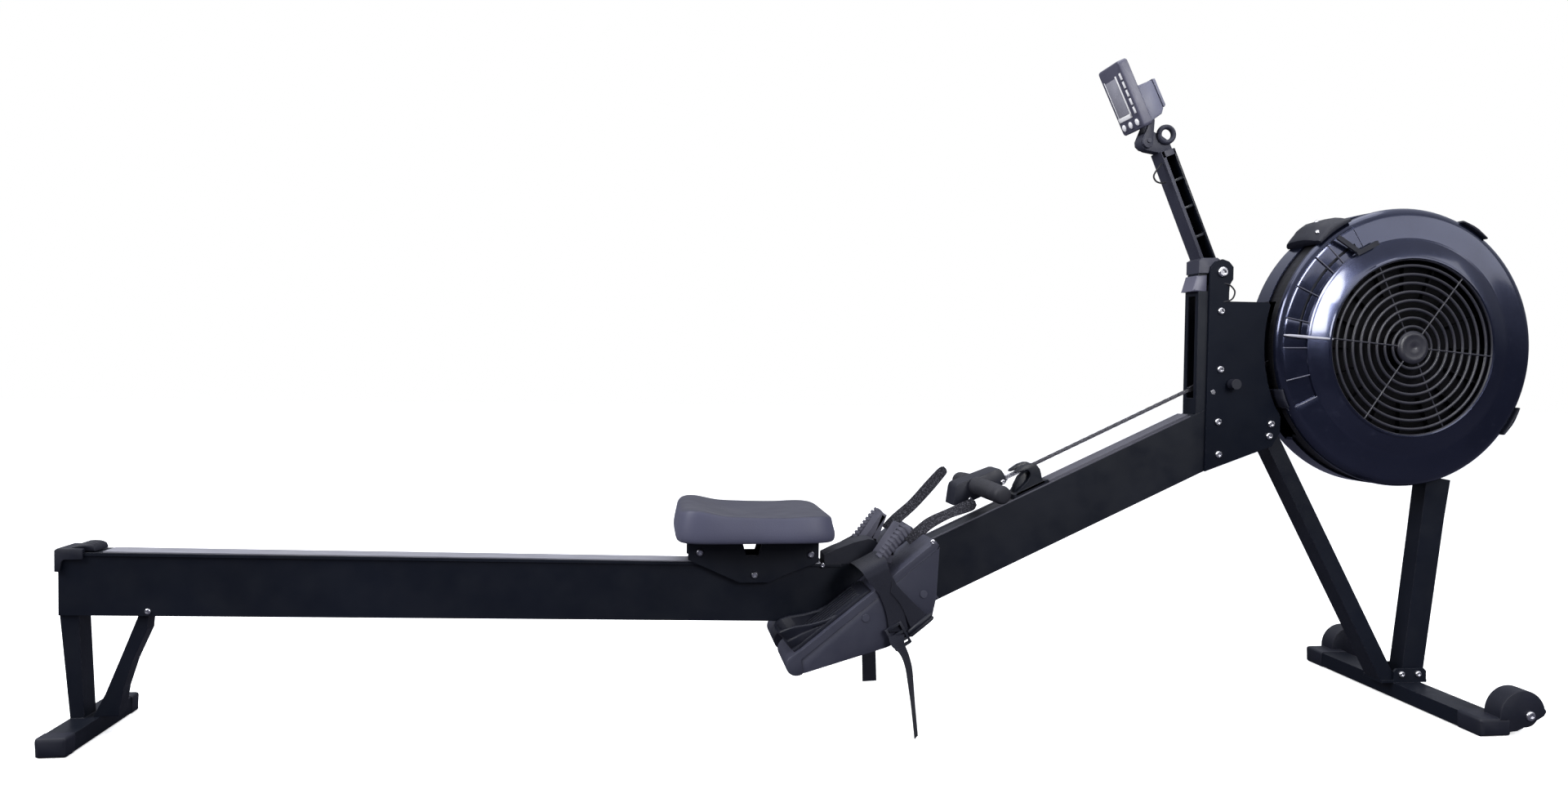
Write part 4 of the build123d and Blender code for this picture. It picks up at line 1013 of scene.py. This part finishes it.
# ---- handle and chain ----
GRIP_ROOT, GRIP_TIP = (214.5, 24, 381.4), (231, 118, 374.3)
SWIVEL_END, CHAIN_WINDOW = (298, 402.2), (600, 543)
LINK_PITCH, PLATE_HALF = 8, 2.5


def make_handle():
    """Middle yoke with a swept, ringed grip on each side; a grip's profile starts at the yoke."""
    grips, body = Shape(), Shape()
    yoke = [(176, 347.5), (178, 362), (180, 376), (182, 381), (186, 384.2), (219, 396.2), (251, 408),
            (256, 408.2), (260, 405.5), (264, 400), (268, 392), (268.5, 386), (264, 382.5), (236, 366),
            (196, 348), (186, 346)]
    body.slab(yoke, -24, 24, 2.6)
    for side in SIDES:
        root, tip = (at(x, side * y, z) for x, y, z in (GRIP_ROOT, GRIP_TIP))
        length = (tip - root).length / MM
        profile = [(9, 2.8), (13.6, 2.8), (14.6, 4), (15, 6.5), (14.9, 10)]
        for k in range(16):
            y = 13 + 4.1 * k
            swell = 0.4 * sin(pi * k / 15)
            profile += [(14.3 + swell, y), (14.8 + swell, y + 1.2), (14.8 + swell, y + 2.6),
                        (14.3 + swell, y + 3.6)]
        profile += [(14.9, length - 13), (15.1, length - 8), (14.4, length - 3.6), (12.4, length - 0.8),
                    (9, length + 0.3), (4, length + 0.9), (0, length + 1)]
        grips.turned(root, tip - root, profile, 40)
        body.turned(root, tip - root, [(7.8, -8), (7.8, 60)], 24)
    grips.piece("hand_grips", "grip_rubber", "handle", "handle_grips", crease=60)
    body.piece("handle_yoke", "moulded_plastic", "handle", "handle_bar")
    bolts = [((262, 386.5), 23.8, 4.2, 2.6), ((205.6, 357.7), 23.8, 3.4, 2.6)]
    screw_pairs(bolts).piece("handle_bolts", "bright_steel", "handle")


def make_chain():
    """Roller chain: outer and inner link plates by turns, on round rollers."""
    a, b = across(SWIVEL_END, 0), across(CHAIN_WINDOW, 0)
    ahead = (b - a).normalized()
    up = Vector((-ahead.z, 0, ahead.x))
    count = int((b - a).length / (LINK_PITCH * MM))
    pitch = (b - a).length / count
    plates = Shape()
    for k in range(count):
        p, q = a + ahead * pitch * k, a + ahead * pitch * (k + 1)
        y = 3.1 if k % 2 else 2.1
        for side in SIDES:
            outline = []
            for centre, start in ((p, 90), (q, -90)):
                for t in (radians(start + 30 * step) for step in range(7)):
                    outline.append(centre + (ahead * cos(t) + up * sin(t)) * PLATE_HALF * MM)
            plates.loft([[v + Vector((0, side * w * MM, 0)) for v in outline] for w in (y - 0.4, y + 0.4)])
        plates.turned(p, (0, 1, 0), [(1.9, -1.8), (1.9, 1.8)], 12)
        plates.turned(p, (0, 1, 0), [(1.2, -3.7), (1.2, 3.7)], 8)
    chain = plates.piece("pull_chain", "chain_steel", None, "chain_span")
    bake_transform(chain, "frame", "handle", start=tuple(b), end=tuple(a))
    weights = chain.data.attributes["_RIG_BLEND"]
    for i, v in enumerate(chain.data.vertices):
        weights.data[i].value = min(max((b - v.co).dot(ahead) / (b - a).length, 0), 1)


def make_hook():
    """Two curved side plates, the web between them and a base that follows the beam."""
    shape = Shape()
    outline = [(284, 401), (287, 405), (300, 413.5), (311, 417), (317, 417), (322, 415), (328, 408),
               (330.5, 400), (332, 392), (334.5, 388), (340, 385.6), (286, 361), (288, 366), (292, 372),
               (300, 380), (306, 386), (310.5, 393), (312, 398), (311, 403), (308, 406), (303, 407),
               (299, 406)]
    for side in SIDES:
        shape.slab(outline, side * 8, side * 20, 1.5)
    base = [(284, beam_z(284)), (342, beam_z(342)), (342, beam_z(342, -7)), (338, beam_z(338, -8.2)),
            (288, beam_z(288, -8.2)), (284, beam_z(284, -7))]
    shape.slab(base, -20, 20, 1.2)
    shape.slab([(287, 363), (336, 386), (324, 396), (313, 402), (305, 401), (297, 394), (289, 378)], -8, 8, 1)
    shape.piece("handle_rest_hook", "frame_steel", "frame", "handle_hook")


# ---- monitor ----
# top and bottom edge of the monitor's face, its length, and the unit vector down it
FACE_TOP, FACE_BOTTOM = (441, 1092), (492, 985)
FACE_LONG = dist(FACE_TOP, FACE_BOTTOM)
DOWN = ((FACE_BOTTOM[0] - FACE_TOP[0]) / FACE_LONG, (FACE_BOTTOM[1] - FACE_TOP[1]) / FACE_LONG)


def on_monitor(down, deep):
    """XZ point at a distance down the face from its top edge, and deep behind it."""
    return FACE_TOP[0] + down * DOWN[0] - deep * DOWN[1], FACE_TOP[1] + down * DOWN[1] + deep * DOWN[0]


def face_block(shape, down0, down1, y0, y1, low, high, edge=0.6):
    """Low rounded block on the monitor's face, from a depth low to a height high (both outwards)."""
    def ring(inset, out):
        top, bottom, near, far = down0 + inset, down1 - inset, y0 + inset, y1 - inset
        corners = ((top, near), (bottom, near), (bottom, far), (top, far))
        return [across(on_monitor(down, -out), y) for down, y in corners]

    shape.loft([ring(0, low), ring(0, high - edge * 0.5), ring(edge, high)])


def make_monitor():
    """Case with a screen, printed marks and three keys, a ribbed box behind it and its bracket."""
    case = Shape()
    rings = []
    for inset, deep in ((1.5, 17.5), (0, 16), (0, 2), (0.8, 0.6), (2.2, 0)):
        radius, bottom = 6 - inset, FACE_LONG - 6
        face = rounded((6, -33, radius, 180), (bottom, -33, radius, 270), (bottom, 33, radius, 0),
                       (6, 33, radius, 90))
        rings.append([across(on_monitor(down, deep), y) for down, y in face])
    case.loft(rings)
    for y in (24, 0, -24):
        face_block(case, 99, 113, y - 7.4, y + 7.4, -0.5, 0.7)
    case.piece("monitor_shell", "monitor_plastic", "monitor", "monitor_case")
    lcd, marks = Shape(), Shape()
    face_block(lcd, 23.5, 86.5, -9.5, 28, -0.3, 0.9, 0.2)
    lcd.piece("lcd_panel", "screen", "monitor", "monitor_screen")
    for place in ((20.5, 95, -15, -10.3), (87.2, 95, -15, 33.5), (20.5, 95, 28.8, 31)):
        face_block(marks, *place, -0.3, 0.7, 0.5)
    for k in range(5):
        face_block(marks, 19.5 + 15 * k, 31 + 15 * k, -33, -27, -0.3, 1.3, 0.9)
    marks.piece("face_markings", "button_white", "monitor")
    for key, y in (("menu", 24), ("units", 0), ("power", -24)):
        cap = Shape()
        cap.turned(across(on_monitor(106, 0), y), (DOWN[1], 0, -DOWN[0]),
                   [(6, -2.5), (6, 1.6), (5.2, 2.3), (3, 2.8), (0, 2.9)], 28)
        cap.piece(f"{key}_key_cap", "button_white", f"{key}_key", f"{key}_button", crease=45)
    back = Shape()
    outline = line_of(on_monitor, (50, 17.5), (51, 48), (53, 50), (103, 50), (110, 44), (115, 17.5))
    back.slab(outline, -28, 28, 2.2)
    lid = line_of(on_monitor, (50, 50.5), (51, 55), (99, 55), (101, 53), (101, 50.5))
    back.slab(lid, -29, 29, 1.4)
    back.piece("monitor_rear_box", "monitor_rear", "monitor", "monitor_back")
    bracket = Shape()
    ears = [on_monitor(90, 20), on_monitor(90, 38), on_monitor(115, 34), (519, 964), (517, 958), (512, 955.5),
            (508, 956), (501, 962), (500, 970), on_monitor(118, 20)]
    for side in SIDES:
        bracket.slab(ears, side * 10.4, side * 16, 0.9)
    bracket.turned(at(512, 0, 968), (0, 1, 0), [(3.9, -18), (3.9, 18)], 20)
    bracket.piece("monitor_bracket", "foot_plastic", "monitor")


def make_arm():
    """Channel-shaped arm, open on the near side with three cross ribs, and the ends of the monitor's wire."""
    arm, inside = Shape(), Shape()
    front = [(532, 949), (534, 950.5), (537.5, 951.5), (616, 767.5), (611, 765)]
    arm.slab(front, -18, 18, 1.2)
    arm.slab([(532, 949), (556, 957), (560, 948), (537, 938)], -18, 18, 1)
    arm.slab([(604, 744.5), (604, 767), (611, 771), (638, 772), (655, 761), (662, 750), (661, 738),
              (650, 730), (636, 731), (628, 738), (626, 744.5)], -22, 22, 1.6)
    arm.slab([(533, 949), (557, 957), (551, 970), (537, 979), (523, 985), (512, 986), (502, 978), (499, 966),
              (503, 957), (511, 952.5)], -10, 10, 1.4)
    arm.torus(at(544, -12, 980), (0, 1, 0), 13, 4.2, 40, 12, 1.4)
    arm.piece("monitor_mast", "foot_plastic", "arm", "monitor_arm")
    # The back wall, the rear strip and the cross ribs inside the channel take the near-black steel finish,
    # darker than the arm's plastic: painted shade in the recess.
    inside.prism([(540, 950), (556, 955), (637, 769), (615, 766)], 12, 17)
    inside.slab([(553.5, 956), (557, 957), (638, 769), (634.5, 768.6)], -18, 18, 0.8)
    for x, z in ((563, 907), (583, 861), (603.5, 812)):
        rib = [(x - 6, z - 3.9), (x + 12.5, z + 4.2), (x + 14, z - 0.2), (x - 4.5, z - 8.3)]
        inside.prism(rib, -15.5, 14)
    inside.piece("mast_ribs", "frame_steel", "arm", bevel=0.5, crease=35)
    cap = Shape()
    cap.slab([(593.5, 713.5), (595, 717), (602, 740.5), (620, 741.5), (620, 713.5)], -19.5, 19.5, 1.2)
    cap.piece("upright_cap", "monitor_plastic", "frame")
    arm_wire = [(537, -12, 931), (527.5, -18, 921), (519.8, -19, 908), (524, -19, 899), (534, -17, 896.5),
                (545, -12, 899)]
    low_wire = [(648, -26, 728), (657, -29, 724.6), (666, -29, 715), (664, -29, 704), (657, -28, 698),
                (646, -26, 696)]
    for body, line, radius in (("arm", arm_wire, 1.5), ("frame", low_wire, 1.4)):
        Shape().tube(edge_line(line, 1), radius, 10).piece(f"{body}_wire", "tyre", body, crease=60)


# ---- studio ----
FLOOR_SIZE = 30.0


def make_floor():
    """White floor. It reflects less than it shows, so that it does not light the machine from below."""
    mesh = bpy.data.meshes.new("floor")
    half = FLOOR_SIZE / 2
    corners = [(-half, -half, 0), (half, -half, 0), (half, half, 0), (-half, half, 0)]
    mesh.from_pydata(corners, [], [(0, 1, 2, 3)])
    floor = bpy.data.objects.new("floor", mesh)
    bpy.context.scene.collection.objects.link(floor)
    f = Finish("floor", Specular_IOR_Level=0.1, Roughness=0.9, Emission_Color=(1.0, 1.0, 1.0))
    pale = f.mix(f.noise(1.5, 2.0), (0.92, 0.92, 0.925), (0.95, 0.95, 0.955))
    seen = f.node("LightPath").outputs["Is Camera Ray"]
    f.colour(f.mix(seen, (0.06, 0.06, 0.08), pale))
    f.feed(f.shader.inputs["Emission Strength"], f.math("MULTIPLY", seen, 0.42))
    mesh.materials.append(f.done())


def make_world():
    """White backdrop. Reflections see a studio that is bright above and dim at eye level."""
    world = bpy.data.worlds.new("studio")
    bpy.context.scene.world = world
    world.use_nodes = True
    nodes, link = world.node_tree.nodes, world.node_tree.links.new
    backdrop = nodes["Background"]
    backdrop.inputs["Color"].default_value = (1.0, 1.0, 1.0, 1.0)
    place, split, ramp, room, seen, mix = (nodes.new("ShaderNode" + kind) for kind in (
        "TexCoord", "SeparateXYZ", "ValToRGB", "Background", "LightPath", "MixShader"))
    low, high = ramp.color_ramp.elements
    low.color = (0.055, 0.06, 0.085, 1.0)
    high.position, high.color = 0.75, (0.80, 0.82, 0.90, 1.0)
    link(place.outputs["Generated"], split.inputs[0])
    link(split.outputs["Z"], ramp.inputs["Fac"])
    link(ramp.outputs["Color"], room.inputs["Color"])
    link(seen.outputs["Is Camera Ray"], mix.inputs[0])
    link(room.outputs[0], mix.inputs[1])
    link(backdrop.outputs[0], mix.inputs[2])
    link(mix.outputs[0], nodes["World Output"].inputs["Surface"])


def softbox(name, place, target, width, height, power):
    light = bpy.data.lights.new(name, "AREA")
    light.shape = "RECTANGLE"
    light.size = width
    light.size_y = height
    light.energy = power
    lamp = bpy.data.objects.new(name, light)
    lamp.location = place
    lamp.rotation_euler = (Vector(target) - Vector(place)).to_track_quat("-Z", "Y").to_euler()
    bpy.context.scene.collection.objects.link(lamp)


def make_studio():
    bpy.context.scene.view_settings.view_transform = "Standard"
    make_floor()
    make_world()
    softbox("top_softbox", (0.0, 0.0, 3.6), (0.0, 0.0, 0.4), 4.5, 3.0, 88.0)
    softbox("crescent_upper", (1.08, -2.2, 1.6), (0.83, 0.0, 0.7), 0.5, 0.55, 22.0)
    softbox("crescent_lower", (0.84, -2.33, 1.2), (0.83, 0.0, 0.7), 0.45, 0.6, 24.0)
    softbox("right_softbox", (2.45, -2.0, 1.5), (0.97, 0.0, 0.8), 2.2, 0.75, 12.0)
    softbox("left_softbox", (-2.8, -0.9, 2.2), (0.3, 0.0, 0.8), 1.6, 1.6, 120.0)


# ---- camera ----
CAMERA_PLACE = Vector((-0.33975, -1.7263, 0.5697))
CAMERA_LENS = 24.21
CAMERA_YAW = 0.1308
CAMERA_PITCH = 0.0258
CAMERA_ROLL = -0.0131


def make_camera():
    data = bpy.data.cameras.new("camera")
    data.lens = CAMERA_LENS
    data.sensor_width = 36.0
    data.sensor_fit = "HORIZONTAL"
    data.clip_start = 0.05
    camera = bpy.data.objects.new("camera", data)
    forward = Vector((sin(CAMERA_YAW) * cos(CAMERA_PITCH),
                      cos(CAMERA_YAW) * cos(CAMERA_PITCH), -sin(CAMERA_PITCH)))
    level = Vector((cos(CAMERA_YAW), -sin(CAMERA_YAW), 0.0))
    fall = forward.cross(level)
    right = cos(CAMERA_ROLL) * level + sin(CAMERA_ROLL) * fall
    up = sin(CAMERA_ROLL) * level - cos(CAMERA_ROLL) * fall
    turn = Matrix((right, up, -forward)).transposed()
    camera.matrix_world = Matrix.Translation(CAMERA_PLACE) @ turn.to_4x4()
    bpy.context.scene.collection.objects.link(camera)
    bpy.context.scene.camera = camera


make_seat()
make_near_shell()
make_grille()
make_clips()
make_bolts()
make_beam_cover()
make_foot_caps()
make_transport_wheels()
make_end_cap()
make_footboards()
make_heel_cups()
make_toe_pads()
make_straps()
make_tongues()
make_handle()
make_chain()
make_hook()
make_monitor()
make_arm()
make_studio()
make_camera()
